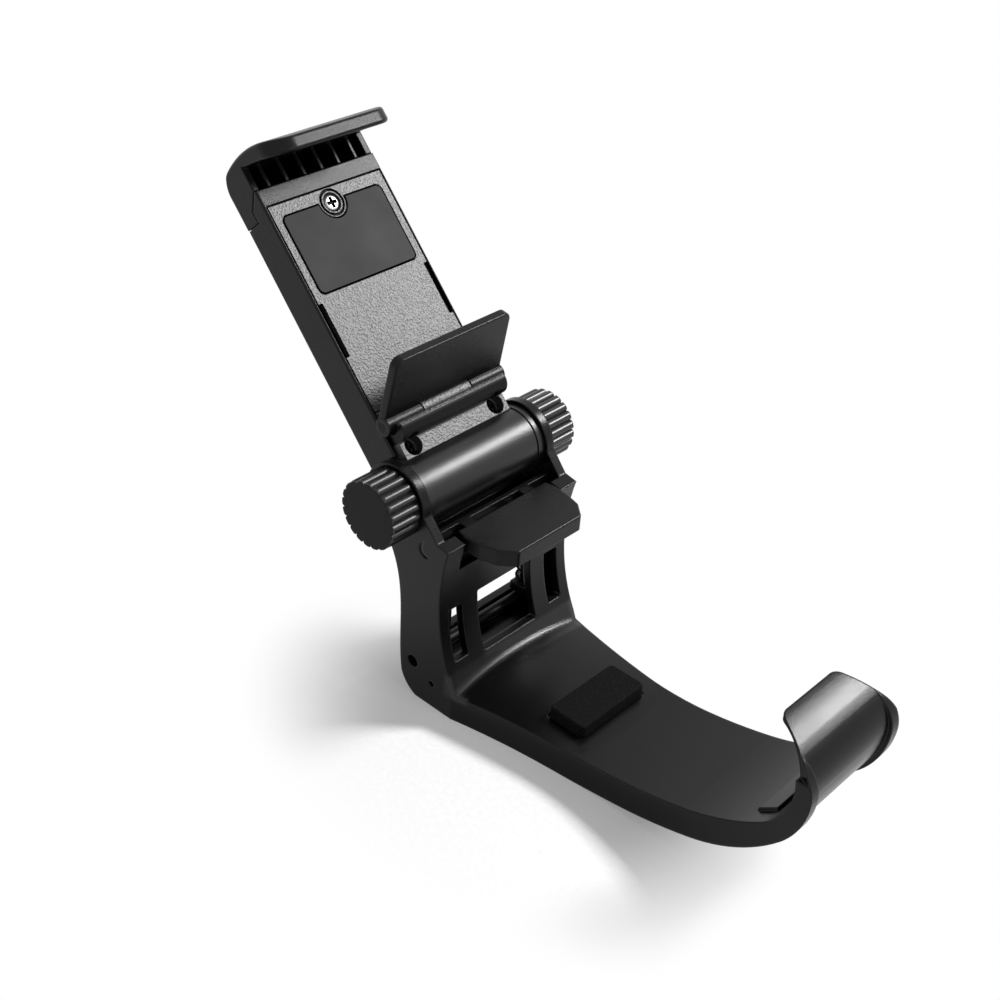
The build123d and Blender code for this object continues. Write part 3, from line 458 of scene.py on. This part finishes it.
# %% Mix the four plastics
BLACK = (0.0045, 0.0045, 0.0047)
GRAIN_MM = 0.32
SATIN = {
    "color": BLACK,
    "rough": 0.3,
    "sheen": 0.42,
    "grain_mm": 0.24,
    "grain_depth_mm": 0.035,
    "edge_mm": 0.15,
}
HOLDER = {
    "color": BLACK,
    "rough": 0.28,
    "sheen": 0.16,
    "grain_mm": 0.26,
    "grain_depth_mm": 0.04,
    "edge_mm": 0.4,
}
KNOB_SIDE = {
    "color": BLACK,
    "rough": 0.33,
    "sheen": 0.5,
    "grain_mm": GRAIN_MM,
    "grain_depth_mm": 0.003,
    "edge_mm": 0.05,
}
KNOB_FACE = {
    "color": BLACK,
    "rough": 0.55,
    "sheen": 0.13,
    "grain_mm": 0.22,
    "grain_depth_mm": 0.03,
    "edge_mm": 0.2,
}
holder_plastic = moulded_plastic("holder_plastic", **HOLDER)
satin_plastic = moulded_plastic("satin_plastic", **SATIN)
knob_gloss = moulded_plastic("knob_gloss", **KNOB_SIDE)
knob_end = moulded_plastic("knob_end", **KNOB_FACE)
print("plastics", holder_plastic.name, satin_plastic.name, knob_gloss.name, knob_end.name)

# %% [markdown]
# The base has one large soft corner, where the upright meets the saddle. It catches the overhead
# lamp as a bright line. Its rounding is done in shading too: the radius of the Bevel node is larger
# near that corner than elsewhere, because the same radius would melt the thin window frames. The
# plastic is also a little glossier there.

# %% Finish the base
CORNER_X_MM = (-7.5, -1.0)
CORNER_Z_MM = (6.0, 12.0)
CORNER_SOFT_MM = 0.5
CORNER_RADIUS_MM = 2.8
EDGE_RADIUS_MM = 0.6
BASE = {
    "color": BLACK,
    "rough": 0.25,
    "sheen": 0.17,
    "grain_mm": GRAIN_MM,
    "grain_depth_mm": 0.03,
    "dust_mm": None,
}
CORNER = {**BASE, "rough": 0.22, "sheen": 0.34, "grain_depth_mm": 0.02}


def place_parts(tree):
    """The place on the object as its three numbers."""
    where = tree.nodes.new("ShaderNodeTexCoord")
    parts = tree.nodes.new("ShaderNodeSeparateXYZ")
    link(tree, where.outputs["Object"], parts.inputs[0])
    return parts.outputs


base_plastic, tree, shader = new_material("base_plastic")
x, y, z = place_parts(tree)
in_x = between(tree, x, *(edge * MM for edge in (*CORNER_X_MM, CORNER_SOFT_MM)))
in_z = between(tree, z, *(edge * MM for edge in (*CORNER_Z_MM, CORNER_SOFT_MM)))
corner = calculate(tree, "MULTIPLY", in_x, in_z)
more = calculate(tree, "MULTIPLY", corner, CORNER_RADIUS_MM - EDGE_RADIUS_MM)
radius = calculate(tree, "ADD", more, EDGE_RADIUS_MM)
moulded(tree, shader, edge_mm=radius, **BASE)
moulded(tree, mixed_in(tree, shader, corner), edge_mm=radius, **CORNER)
print("corner radius", CORNER_RADIUS_MM, "mm")

# %% [markdown]
# The pad is black rubber. It is duller than the plastic, and paler specks of dust cling to it. A
# noise texture picks where they lie.

# %% Finish the pad
RUBBER_BLACK = (0.003, 0.003, 0.003)
DUST_GREY = (0.035, 0.035, 0.035)
SPECK_MM = 0.45
SPECK_FROM = 0.56
SPECK_TO = 0.75
RUBBER = {
    "color": RUBBER_BLACK,
    "rough": 0.8,
    "sheen": 0.08,
    "grain_mm": 0.4,
    "grain_depth_mm": 0.08,
    "edge_mm": 0.3,
}
rubber, tree, shader = new_material("rubber")
moulded(tree, shader, **RUBBER)
specks = place_texture(tree, "ShaderNodeTexNoise", SPECK_MM, Detail=4.0, Roughness=0.7)
dust = tree.nodes.new("ShaderNodeMix")
dust.data_type = "RGBA"
dust.inputs["A"].default_value = (*RUBBER_BLACK, 1)
dust.inputs["B"].default_value = (*DUST_GREY, 1)
shown = spread(tree, specks.outputs["Fac"], 0.0, 1.0, SPECK_FROM, SPECK_TO)
link(tree, shown, dust.inputs["Factor"])
link(tree, dust.outputs["Result"], shader.inputs["Base Color"])
print("specks of", SPECK_MM, "mm")

# %% [markdown]
# The barrel of the holder is the same moulding as the tray, but it shines more in the photograph,
# as if its mould were polished there. A material can tell the two apart by the distance from the
# axis.

# %% Give the barrel its satin
BARREL_REACH_MM = 8.2
BARREL_SOFT_MM = 0.2


def from_pivot(tree):
    """Distance of a place from the line of the pivot."""
    x, y, z = place_parts(tree)
    x = calculate(tree, "SUBTRACT", x, PIVOT.x)
    z = calculate(tree, "SUBTRACT", z, PIVOT.z)
    x_squared = calculate(tree, "POWER", x, 2.0)
    z_squared = calculate(tree, "POWER", z, 2.0)
    return calculate(tree, "SQRT", calculate(tree, "ADD", x_squared, z_squared))


shell_plastic, tree, shader = new_material("shell_plastic")
moulded(tree, shader, **HOLDER)
barrel_end = (BARREL_REACH_MM + BARREL_SOFT_MM) * MM
near_axis = spread(tree, from_pivot(tree), 1.0, 0.0, BARREL_REACH_MM * MM, barrel_end)
moulded(tree, mixed_in(tree, shader, near_axis), **SATIN)
print("barrel within", BARREL_REACH_MM, "mm")

# %% [markdown]
# The face panel and the strip below the shelf have a leather grain: low pebbles with fine cracks
# between them. A smooth Voronoi texture makes the pebbles, and a finer noise breaks them up. The
# same value also lifts the colour a little on the pebbles, where such a grain wears paler. Round a
# plate, a black line is painted as the shade in its gap. An edge is found by comparing the rounded
# normal with the true one.

# %% Make the leather grain
PEBBLE_MM = 0.55
CRACK_MM = 0.3
CRACK_SHARE = 0.8
PEBBLE_DEPTH_MM = 0.12
LEATHER_EDGE_MM = 0.2
LEATHER_DUST_MM = 0.5
LEATHER_SHEEN = 0.75
LEATHER_ROUGH = 0.43
LEATHER_GREY = (0.035, 0.035, 0.036)
TONE_LOW, TONE_HIGH = 0.2, 1.2
HEIGHT_LOW, HEIGHT_HIGH = 0.6, 1.5
EDGE_TURN = 0.96
FLAT_TURN = 0.995
PAINTED_GAP_SHADE = (0.001, 0.001, 0.001, 1)
GAP_ROUGH = 0.9


def near_edge(tree, radius_mm):
    """1 next to an edge of the mesh and 0 on its flats."""
    rounded = rounded_normal(tree, radius_mm)
    true = tree.nodes.new("ShaderNodeNewGeometry")
    product = tree.nodes.new("ShaderNodeVectorMath")
    product.operation = "DOT_PRODUCT"
    link(tree, rounded, product.inputs[0])
    link(tree, true.outputs["Normal"], product.inputs[1])
    return spread(tree, product.outputs["Value"], 1.0, 0.0, EDGE_TURN, FLAT_TURN)


def leathered(tree, shader):
    """Sets a shader up as the pebbled grain of the face plates."""
    pebbles = place_texture(tree, "ShaderNodeTexVoronoi", PEBBLE_MM, Randomness=1.0)
    pebbles.feature = "SMOOTH_F1"
    fine = place_texture(tree, "ShaderNodeTexNoise", CRACK_MM, Detail=4.0)
    cracks = fine.outputs["Fac"]
    height = calculate(tree, "MULTIPLY_ADD", cracks, CRACK_SHARE, pebbles.outputs["Distance"])
    normal = add_bump(tree, height, PEBBLE_DEPTH_MM, rounded_normal(tree, LEATHER_EDGE_MM))
    link(tree, normal, shader.inputs["Normal"])
    tone = tree.nodes.new("ShaderNodeVectorMath")
    tone.operation = "SCALE"
    tone.inputs[0].default_value = LEATHER_GREY
    lift = spread(tree, height, HEIGHT_LOW, HEIGHT_HIGH, TONE_LOW, TONE_HIGH)
    link(tree, lift, tone.inputs["Scale"])
    link(tree, tone.outputs["Vector"], shader.inputs["Base Color"])
    link(tree, dulled(tree, LEATHER_ROUGH, LEATHER_DUST_MM), shader.inputs["Roughness"])
    shader.inputs["Specular IOR Level"].default_value = LEATHER_SHEEN


def painted_gap_shade(tree, shader, radius_mm):
    """Painted shade: a black line along the edges of a plate, where the shadow of its gap falls."""
    gap = mixed_in(tree, shader, near_edge(tree, radius_mm))
    # The line is painted shade: a black, matte shader mixed in along the edges.
    gap.inputs["Base Color"].default_value = PAINTED_GAP_SHADE
    gap.inputs["Roughness"].default_value = GAP_ROUGH
    gap.inputs["Specular IOR Level"].default_value = 0.0


PANEL_SHADE_MM = 0.5
panel_leather, tree, shader = new_material("panel_leather")
leathered(tree, shader)
# A black line of painted shade runs round the panel.
painted_gap_shade(tree, shader, PANEL_SHADE_MM)
print("leather pebbles of", PEBBLE_MM, "mm")

# %% [markdown]
# The label plate is a thin smooth sheet in a shallow seat of the panel. It has nearly no grain, and
# the line of its seat gets the same painted shade.

# %% Finish the label plate
LABEL_SHADE_MM = 0.45
LABEL = {
    "color": (0.008, 0.008, 0.0085),
    "rough": 0.46,
    "sheen": 0.1,
    "grain_mm": 0.2,
    "grain_depth_mm": 0.003,
    "edge_mm": 0.1,
}
label, tree, shader = new_material("label")
moulded(tree, shader, **LABEL)
# The seat line of the label gets the same painted shade.
painted_gap_shade(tree, shader, LABEL_SHADE_MM)
print("label line", LABEL_SHADE_MM, "mm")

# %% [markdown]
# The hinge cover is grained on its strip and on its middle knuckle. The rail between them is left
# smooth. Its material changes with the height along the lean of the holder.

# %% Finish the hinge cover
RAIL_MM = (10.9, 14.3)
RAIL_SOFT_MM = 0.1
RAIL = {
    "color": BLACK,
    "rough": 0.3,
    "sheen": 0.12,
    "grain_mm": GRAIN_MM,
    "grain_depth_mm": 0.02,
    "edge_mm": 0.3,
}


def along_the_holder(tree):
    """Height of a place above the pivot, along the lean of the holder."""
    where = tree.nodes.new("ShaderNodeTexCoord")
    product = tree.nodes.new("ShaderNodeVectorMath")
    product.operation = "DOT_PRODUCT"
    product.inputs[1].default_value = ALONG
    link(tree, where.outputs["Object"], product.inputs[0])
    return calculate(tree, "SUBTRACT", product.outputs["Value"], PIVOT.dot(ALONG))


cover_finish, tree, shader = new_material("cover_finish")
leathered(tree, shader)
height = along_the_holder(tree)
rail = between(tree, height, *(edge * MM for edge in (*RAIL_MM, RAIL_SOFT_MM)))
moulded(tree, mixed_in(tree, shader, rail), **RAIL)
print("smooth rail from", *RAIL_MM)

# %% [markdown]
# Screws, pins and springs are steel. Fine turning marks make its gloss uneven. The screw in the
# face panel is bright. The pins and the springs are blackened. The same black steel is also painted
# shade in the cross recesses and on the screws deep in their holes.

# %% Make the two kinds of steel
MARK_MM = 0.2
MARK_DEPTH_MM = 0.008
MARK_GLOSS = 0.08
STEEL_EDGE_MM = 0.1
STEEL_DUST_MM = 0.4


def steel(name, color, rough):
    """Steel with fine turning marks."""
    made, tree, shader = new_material(name)
    shader.inputs["Metallic"].default_value = 1.0
    shader.inputs["Base Color"].default_value = (*color, 1)
    marks = place_texture(tree, "ShaderNodeTexNoise", MARK_MM, Detail=2.0)
    gloss = spread(tree, marks.outputs["Fac"], rough - MARK_GLOSS, rough + MARK_GLOSS)
    link(tree, dulled(tree, gloss, STEEL_DUST_MM), shader.inputs["Roughness"])
    rounded = rounded_normal(tree, STEEL_EDGE_MM)
    normal = add_bump(tree, marks.outputs["Fac"], MARK_DEPTH_MM, rounded)
    link(tree, normal, shader.inputs["Normal"])
    return made


bright_steel = steel("bright_steel", (0.36, 0.36, 0.37), 0.38)
# The black steel is the real finish of the pins and springs, and painted shade in the cross
# recesses and on the deep screws.
black_steel_and_painted_shade = steel("black_steel_and_painted_shade", (0.012, 0.012, 0.013), 0.4)
print("steels", bright_steel.name, black_steel_and_painted_shade.name)

# %% [markdown]
# ## Geometry Nodes for what repeats
# The flutes of the knobs, the turns of the springs and the three screws all follow a rule. A node
# tree states each rule once, with named inputs for its sizes. The helper below runs a tree on an
# object and keeps the result as a plain mesh, so nothing is left to evaluate later.

# %% Define how a node tree becomes a piece
SHARP_ANGLE = 40


def geometry_tree(name, **inputs):
    """A tree, its inputs and its result. Each input is named with a kind of socket."""
    tree = bpy.data.node_groups.new(name, "GeometryNodeTree")
    tree.interface.new_socket("Geometry", in_out="OUTPUT", socket_type="NodeSocketGeometry")
    tree.interface.new_socket("Geometry", in_out="INPUT", socket_type="NodeSocketGeometry")
    for key, kind in inputs.items():
        title = key.replace("_", " ")
        tree.interface.new_socket(title, in_out="INPUT", socket_type="NodeSocket" + kind)
    entry = tree.nodes.new("NodeGroupInput")
    leave = tree.nodes.new("NodeGroupOutput")
    return tree, entry.outputs, leave.inputs[0]


def step(tree, kind, **inputs):
    """A node whose inputs are sockets or plain values, named with underscores for spaces."""
    node = tree.nodes.new(kind)
    for key, value in inputs.items():
        socket = node.inputs[key.replace("_", " ")]
        if isinstance(value, bpy.types.NodeSocket):
            link(tree, value, socket)
        else:
            socket.default_value = value
    return node


def parts_of(tree, kind):
    """The three numbers of each point's position or normal."""
    return step(tree, "ShaderNodeSeparateXYZ", Vector=tree.nodes.new(kind).outputs[0]).outputs


def painted(tree, geometry, material, **choice):
    """The geometry, or a choice of its faces, in a material."""
    coat = step(
        tree, "GeometryNodeSetMaterial", Geometry=geometry, Material=material, **choice
    )
    return coat.outputs[0]


def rounded_rim(tree, radius, edge, from_end):
    """Largest radius at a distance from the end face, with a round edge of the given size."""
    inside = calculate(tree, "MAXIMUM", calculate(tree, "SUBTRACT", edge, from_end), 0.0)
    edge_squared = calculate(tree, "POWER", edge, 2.0)
    inside_squared = calculate(tree, "POWER", inside, 2.0)
    arc = calculate(tree, "SUBTRACT", edge_squared, inside_squared)
    arc = calculate(tree, "SQRT", calculate(tree, "MAXIMUM", arc, 0.0))
    return calculate(tree, "ADD", calculate(tree, "SUBTRACT", radius, edge), arc)


def run_tree(name, tree, points=(), **values):
    """A new object made by a tree from loose points, kept as a plain mesh."""
    start = bpy.data.meshes.new(name)
    start.from_pydata([tuple(p) for p in points], [], [])
    piece = bpy.data.objects.new(name, start)
    scene.collection.objects.link(piece)
    modifier = piece.modifiers.new(name, "NODES")
    modifier.node_group = tree
    sockets = {s.name: s.identifier for s in tree.interface.items_tree if s.in_out == "INPUT"}
    for key, value in values.items():
        modifier[sockets[key.replace("_", " ")]] = value
    depsgraph = bpy.context.evaluated_depsgraph_get()
    mesh = bpy.data.meshes.new_from_object(piece.evaluated_get(depsgraph))
    piece.modifiers.clear()
    piece.data = mesh
    mesh.shade_smooth()
    mesh.set_sharp_from_angle(angle=math.radians(SHARP_ANGLE))
    print(name, len(mesh.polygons), "faces")
    return piece


print("edges over", SHARP_ANGLE, "degrees stay sharp")

# %% [markdown]
# ## The knobs
# Each knob is a moulded grip with twenty round lobes. Cutting them one by one would be slow to
# change. Here a plain cylinder is bent to the rule instead: each ring takes the outline of circles
# set round the axis, and near its ends the outline is trimmed by a rounded edge.

# %% Write the rule of the knob
knob_tree, given, result = geometry_tree(
    "fluted_knob",
    Radius="Float",
    Root="Float",
    Lobe="Float",
    Lobes="Int",
    Middle="Vector",
    Half="Float",
    Edge="Float",
    Outside="Float",
    Flutes="Material",
    End="Material",
)
STEPS_PER_LOBE = 14
RINGS = 28


def knob_math(operation, *values):
    """A Math node in the tree of the knob."""
    return calculate(knob_tree, operation, *values)


blank = step(
    knob_tree,
    "GeometryNodeMeshCylinder",
    Vertices=knob_math("MULTIPLY", given["Lobes"], float(STEPS_PER_LOBE)),
    Side_Segments=RINGS,
    Radius=1.0,
    Depth=2.0,
)
place = parts_of(knob_tree, "GeometryNodeInputPosition")
angle = knob_math("ARCTAN2", place["Y"], place["X"])
share = knob_math("DIVIDE", knob_math("MULTIPLY", angle, given["Lobes"]), math.tau)
within = knob_math("SUBTRACT", share, knob_math("ROUND", share))
away = knob_math("DIVIDE", knob_math("MULTIPLY", within, math.tau), given["Lobes"])
ring = knob_math("SUBTRACT", given["Radius"], given["Lobe"])
sideways = knob_math("MULTIPLY", ring, knob_math("SINE", away))
lobe_squared = knob_math("POWER", given["Lobe"], 2.0)
rest = knob_math("SUBTRACT", lobe_squared, knob_math("POWER", sideways, 2.0))
bulge = knob_math("SQRT", knob_math("MAXIMUM", rest, 0.0))
lobe = knob_math("MULTIPLY_ADD", ring, knob_math("COSINE", away), bulge)
outline = knob_math("MAXIMUM", lobe, given["Root"])
print("outline of", len(knob_tree.nodes), "nodes")

# %% [markdown]
# The rings of the blank are evenly spaced. A sine crowds them towards both ends, where the rounded
# edge needs them. The end face on the outside gets the matte finish, found by its normal.

# %% Trim the ends and stand the knob on its axis
FACE_TURN = 0.9
eased = knob_math("SINE", knob_math("MULTIPLY", place["Z"], math.pi / 2))
to_middle = knob_math("SUBTRACT", 1.0, knob_math("ABSOLUTE", eased))
from_end = knob_math("MULTIPLY", to_middle, given["Half"])
limit = rounded_rim(knob_tree, given["Radius"], given["Edge"], from_end)
trimmed = knob_math("MINIMUM", outline, limit)
turned = step(
    knob_tree,
    "ShaderNodeCombineXYZ",
    X=knob_math("MULTIPLY", trimmed, knob_math("COSINE", angle)),
    Y=knob_math("MULTIPLY", eased, knob_math("MULTIPLY", given["Half"], -1.0)),
    Z=knob_math("MULTIPLY", trimmed, knob_math("SINE", angle)),
)
moved = step(knob_tree, "ShaderNodeVectorMath")
link(knob_tree, turned.outputs[0], moved.inputs[0])
link(knob_tree, given["Middle"], moved.inputs[1])
shaped = step(
    knob_tree,
    "GeometryNodeSetPosition",
    Geometry=blank.outputs["Mesh"],
    Position=moved.outputs["Vector"],
)
real = step(knob_tree, "GeometryNodeRealizeInstances", Geometry=shaped.outputs[0])
fluted = painted(knob_tree, real.outputs[0], given["Flutes"])
facing = parts_of(knob_tree, "GeometryNodeInputNormal")
outward = knob_math("MULTIPLY", facing["Y"], given["Outside"])
on_face = knob_math("GREATER_THAN", outward, FACE_TURN)
link(knob_tree, painted(knob_tree, fluted, given["End"], Selection=on_face), result)
print("knob of", len(knob_tree.nodes), "nodes")

# %% Make both knobs
KNOB_RADIUS_MM = 8.4
KNOB_ROOT_MM = 7.3
LOBE_RADIUS_MM = 1.1
LOBES = 20
KNOB_EDGE_MM = 0.5
for side, outside in (("left", -1.0), ("right", 1.0)):
    node = "knob_" + side
    low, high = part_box(node)
    knob = run_tree(
        "fluted_" + node,
        knob_tree,
        Radius=KNOB_RADIUS_MM * MM,
        Root=KNOB_ROOT_MM * MM,
        Lobe=LOBE_RADIUS_MM * MM,
        Lobes=LOBES,
        Middle=(PIVOT.x, (low[1] + high[1]) / 2, PIVOT.z),
        Half=(high[1] - low[1]) / 2,
        Edge=KNOB_EDGE_MM * MM,
        Outside=outside,
        Flutes=knob_gloss,
        End=knob_end,
    )
    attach(knob, side + "_knob")
    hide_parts(node)

# %% [markdown]
# ## The springs
# A compression spring is a wire wound on a rising line. Its first and last turn lie flat, so that
# it stands straight, and the turns between share the height. The tree winds a spiral, lifts each
# point by that rule, and sweeps the wire along it. Two short springs push the tab down. Two long
# ones pull the jaw. Each spring rides on the parent body of its joint.

# %% Write the rule of the spring
spring_tree, given, result = geometry_tree(
    "wound_spring",
    Turns="Float",
    Radius="Float",
    Wire="Float",
    Length="Float",
    Start="Vector",
    Lean="Vector",
    Steel="Material",
)
POINTS_PER_TURN = 22
WIRE_SIDES = 8
FLAT_TURNS = 2.0
FLAT_WIRES = 3.0


def spring_math(operation, *values):
    """A Math node in the tree of the spring."""
    return calculate(spring_tree, operation, *values)


spiral = step(
    spring_tree,
    "GeometryNodeCurveSpiral",
    Resolution=POINTS_PER_TURN,
    Rotations=given["Turns"],
    Start_Radius=given["Radius"],
    End_Radius=given["Radius"],
    Height=1.0,
)
wire_width = spring_math("MULTIPLY", given["Wire"], 2.0)
active = spring_math("SUBTRACT", given["Turns"], FLAT_TURNS)
flat_part = spring_math("MULTIPLY", wire_width, FLAT_WIRES)
pitch = spring_math("DIVIDE", spring_math("SUBTRACT", given["Length"], flat_part), active)
progress = spring_tree.nodes.new("GeometryNodeSplineParameter").outputs["Factor"]
wound = spring_math("MULTIPLY", progress, given["Turns"])
first = spring_math("MINIMUM", wound, 1.0)
past = spring_math("SUBTRACT", wound, spring_math("ADD", active, 1.0))
last = spring_math("MAXIMUM", past, 0.0)
among = spring_math("SUBTRACT", spring_math("SUBTRACT", wound, first), last)
height = spring_math("MULTIPLY", spring_math("ADD", first, last), wire_width)
height = spring_math("MULTIPLY_ADD", among, pitch, height)
place = parts_of(spring_tree, "GeometryNodeInputPosition")
lifted = step(
    spring_tree,
    "ShaderNodeCombineXYZ",
    X=place["X"],
    Y=place["Y"],
    Z=spring_math("ADD", height, given["Wire"]),
)
line = step(
    spring_tree, "GeometryNodeSetPosition", Geometry=spiral.outputs[0], Position=lifted.outputs[0]
)
section = step(
    spring_tree, "GeometryNodeCurvePrimitiveCircle", Resolution=WIRE_SIDES, Radius=given["Wire"]
)
swept = step(
    spring_tree,
    "GeometryNodeCurveToMesh",
    Curve=line.outputs[0],
    Profile_Curve=section.outputs["Curve"],
    Fill_Caps=True,
)
stood = step(
    spring_tree,
    "GeometryNodeTransform",
    Geometry=swept.outputs[0],
    Translation=given["Start"],
    Rotation=given["Lean"],
)
real = step(spring_tree, "GeometryNodeRealizeInstances", Geometry=stood.outputs[0])
link(spring_tree, painted(spring_tree, real.outputs[0], given["Steel"]), result)
print("spring of", len(spring_tree.nodes), "nodes")

# %% Wind the four springs
UP = Vector((0, 0, 1))
SPRINGS = {
    "clamp_spring": {
        "joint": "clamp_lift",
        "axis": UP,
        "lean": 0.0,
        "radius_mm": 1.9,
        "wire_mm": 0.28,
        "turns": 8,
    },
    "jaw_spring": {
        "joint": "jaw_slide",
        "axis": ALONG,
        "lean": LEAN,
        "radius_mm": 1.4,
        "wire_mm": 0.22,
        "turns": 14,
    },
}


def wind_spring(kind, side, joint, axis, lean, radius_mm, wire_mm, turns):
    """A spring in the place of its CAD node, carried by the parent body of its joint."""
    node = kind + "_" + side
    low, high = reach(node, axis)
    centre = middle(node)
    start = centre + axis * (low - centre.dot(axis))
    spring = run_tree(
        "wound_" + node,
        spring_tree,
        Turns=float(turns),
        Radius=radius_mm * MM,
        Wire=wire_mm * MM,
        Length=high - low,
        Start=start,
        Lean=(0.0, lean, 0.0),
        Steel=black_steel_and_painted_shade,
    )
    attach(spring, JOINTS[joint]["parent"])
    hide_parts(node)
    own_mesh(spring)


for kind, sizes in SPRINGS.items():
    for side in ("left", "right"):
        wind_spring(kind, side, **sizes)

# %% [markdown]
# ## The screws
# Three equal screws with a cross recess hold the holder together: one in the face panel, and two
# at the bottom of deep holes. One screw is modelled and set on three points. The cross is cut with
# two bars that already carry the black steel, so the walls of the recess are painted shade, where a
# real recess swallows the light. The two deep screws are painted in the same black all over, as the
# shade at the bottom of their holes.

# %% Write the rule of the screw
screw_tree, given, result = geometry_tree(
    "cross_screw",
    Head="Float",
    Height="Float",
    Edge="Float",
    Shank="Float",
    Shank_Length="Float",
    Arm="Float",
    Arm_Width="Float",
    Depth="Float",
    Turn="Vector",
    Deep_From="Float",
    Steel="Material",
    Dark="Material",
)
HEAD_SIDES = 48
HEAD_RINGS = 8
SHANK_SIDES = 24


def screw_math(operation, *values):
    """A Math node in the tree of the screw."""
    return calculate(screw_tree, operation, *values)


def set_off(geometry, height):
    """The geometry moved up the screw."""
    offset = step(screw_tree, "ShaderNodeCombineXYZ", Z=height)
    return step(
        screw_tree, "GeometryNodeTransform", Geometry=geometry, Translation=offset.outputs[0]
    ).outputs[0]


blank = step(
    screw_tree,
    "GeometryNodeMeshCylinder",
    Vertices=HEAD_SIDES,
    Side_Segments=HEAD_RINGS,
    Radius=given["Head"],
    Depth=given["Height"],
)
head = set_off(blank.outputs["Mesh"], screw_math("MULTIPLY", given["Height"], 0.5))
place = parts_of(screw_tree, "GeometryNodeInputPosition")
below_top = screw_math("SUBTRACT", given["Height"], place["Z"])
limit = rounded_rim(screw_tree, given["Head"], given["Edge"], below_top)
share = screw_math("DIVIDE", limit, given["Head"])
rounded = step(
    screw_tree,
    "ShaderNodeCombineXYZ",
    X=screw_math("MULTIPLY", place["X"], share),
    Y=screw_math("MULTIPLY", place["Y"], share),
    Z=place["Z"],
)
turned_head = step(
    screw_tree, "GeometryNodeSetPosition", Geometry=head, Position=rounded.outputs[0]
)
head = painted(screw_tree, turned_head.outputs[0], given["Steel"])
print("head of", len(screw_tree.nodes), "nodes")

# %% Cut the cross and set the screws on their points
long_side = screw_math("MULTIPLY", given["Arm"], 2.0)
depth = screw_math("MULTIPLY", given["Depth"], 2.0)
bars = []
for sides in ((long_side, given["Arm Width"]), (given["Arm Width"], long_side)):
    size = step(screw_tree, "ShaderNodeCombineXYZ", X=sides[0], Y=sides[1], Z=depth)
    bar = step(screw_tree, "GeometryNodeMeshCube", Size=size.outputs[0])
    bars.append(set_off(bar.outputs["Mesh"], given["Height"]))
cross = screw_tree.nodes.new("GeometryNodeMeshBoolean")
cross.operation = "UNION"
for bar in bars:
    link(screw_tree, bar, cross.inputs["Mesh"])
# The bars carry the black steel, so the walls of the recess are painted shade.
painted_shade_cross = painted(screw_tree, cross.outputs["Mesh"], given["Dark"])
cut = screw_tree.nodes.new("GeometryNodeMeshBoolean")
cut.operation = "DIFFERENCE"
link(screw_tree, head, cut.inputs["Mesh 1"])
link(screw_tree, painted_shade_cross, cut.inputs["Mesh 2"])
shank = step(
    screw_tree,
    "GeometryNodeMeshCylinder",
    Vertices=SHANK_SIDES,
    Radius=given["Shank"],
    Depth=given["Shank Length"],
)
shank = set_off(shank.outputs["Mesh"], screw_math("MULTIPLY", given["Shank Length"], -0.5))
shank = painted(screw_tree, shank, given["Steel"])
whole = screw_tree.nodes.new("GeometryNodeJoinGeometry")
link(screw_tree, cut.outputs["Mesh"], whole.inputs[0])
link(screw_tree, shank, whole.inputs[0])
entry = next(node for node in screw_tree.nodes if node.bl_idname == "NodeGroupInput")
many = step(
    screw_tree,
    "GeometryNodeInstanceOnPoints",
    Points=entry.outputs["Geometry"],
    Instance=whole.outputs[0],
    Rotation=given["Turn"],
)
real = step(screw_tree, "GeometryNodeRealizeInstances", Geometry=many.outputs[0])
where = parts_of(screw_tree, "GeometryNodeInputPosition")
# Screws past this place sit deep in their holes and are painted all over in black steel, as the
# shade there.
is_deep = screw_math("GREATER_THAN", where["X"], given["Deep From"])
link(screw_tree, painted(screw_tree, real.outputs[0], given["Dark"], Selection=is_deep), result)
print("screw of", len(screw_tree.nodes), "nodes")

# %% Set the three screws
SEAT_MM = 1.2
SCREW_PLACES_MM = ((0.0, 66.8), (-13.3, 9.2), (13.3, 9.2))
SCREW_MM = {
    "Head": 1.94,
    "Height": 1.2,
    "Edge": 0.45,
    "Shank": 1.15,
    "Shank_Length": 6.0,
    "Arm": 1.35,
    "Arm_Width": 0.8,
    "Depth": 0.8,
}
# Screws beyond this place get the painted shade of their holes.
DEEP_FROM = -0.045
screw_points = [
    PIVOT + (OUTWARD * SEAT_MM + ACROSS * y + ALONG * z) * MM for y, z in SCREW_PLACES_MM
]
screws = run_tree(
    "cross_screws",
    screw_tree,
    points=screw_points,
    **{key: size * MM for key, size in SCREW_MM.items()},
    Turn=(0.0, LEAN + math.pi / 2, 0.0),
    Deep_From=DEEP_FROM,
    Steel=bright_steel,
    Dark=black_steel_and_painted_shade,
)
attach(screws, "holder")
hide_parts("holder_screws")

# %% [markdown]
# ## The solids
# Each CAD node that still shows gets its finish. The knobs, the springs and the screws are left
# out, because the pieces made above stand in their place.

# %% Dress the solids
FINISHES = {
    base_plastic: ("base_frame",),
    holder_plastic: ("phone_shelf", "top_jaw", "clamp_tab"),
    satin_plastic: ("washer_left", "washer_right"),
    rubber: ("saddle_pad",),
    label: ("label_plate",),
    shell_plastic: ("holder_shell",),
    panel_leather: ("face_panel",),
    cover_finish: ("hinge_cover",),
    bright_steel: ("pivot_bolt", "pivot_nut", "jaw_rod_left", "jaw_rod_right", "rod_clips"),
    black_steel_and_painted_shade: ("stop_pin", "shelf_pin"),
}
for material, names in FINISHES.items():
    for name in names:
        slots = NODES[name].data.materials
        slots.clear()
        slots.append(material)
print("dressed", sum(len(names) for names in FINISHES.values()))

# %% [markdown]
# ## The size
# Both boxes, the one of the solids and the one of the dressed clip, are measured and printed.

# %% Measure and finish
low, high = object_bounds()
print("visual box", [round(v, 4) for v in (*low, *high)])
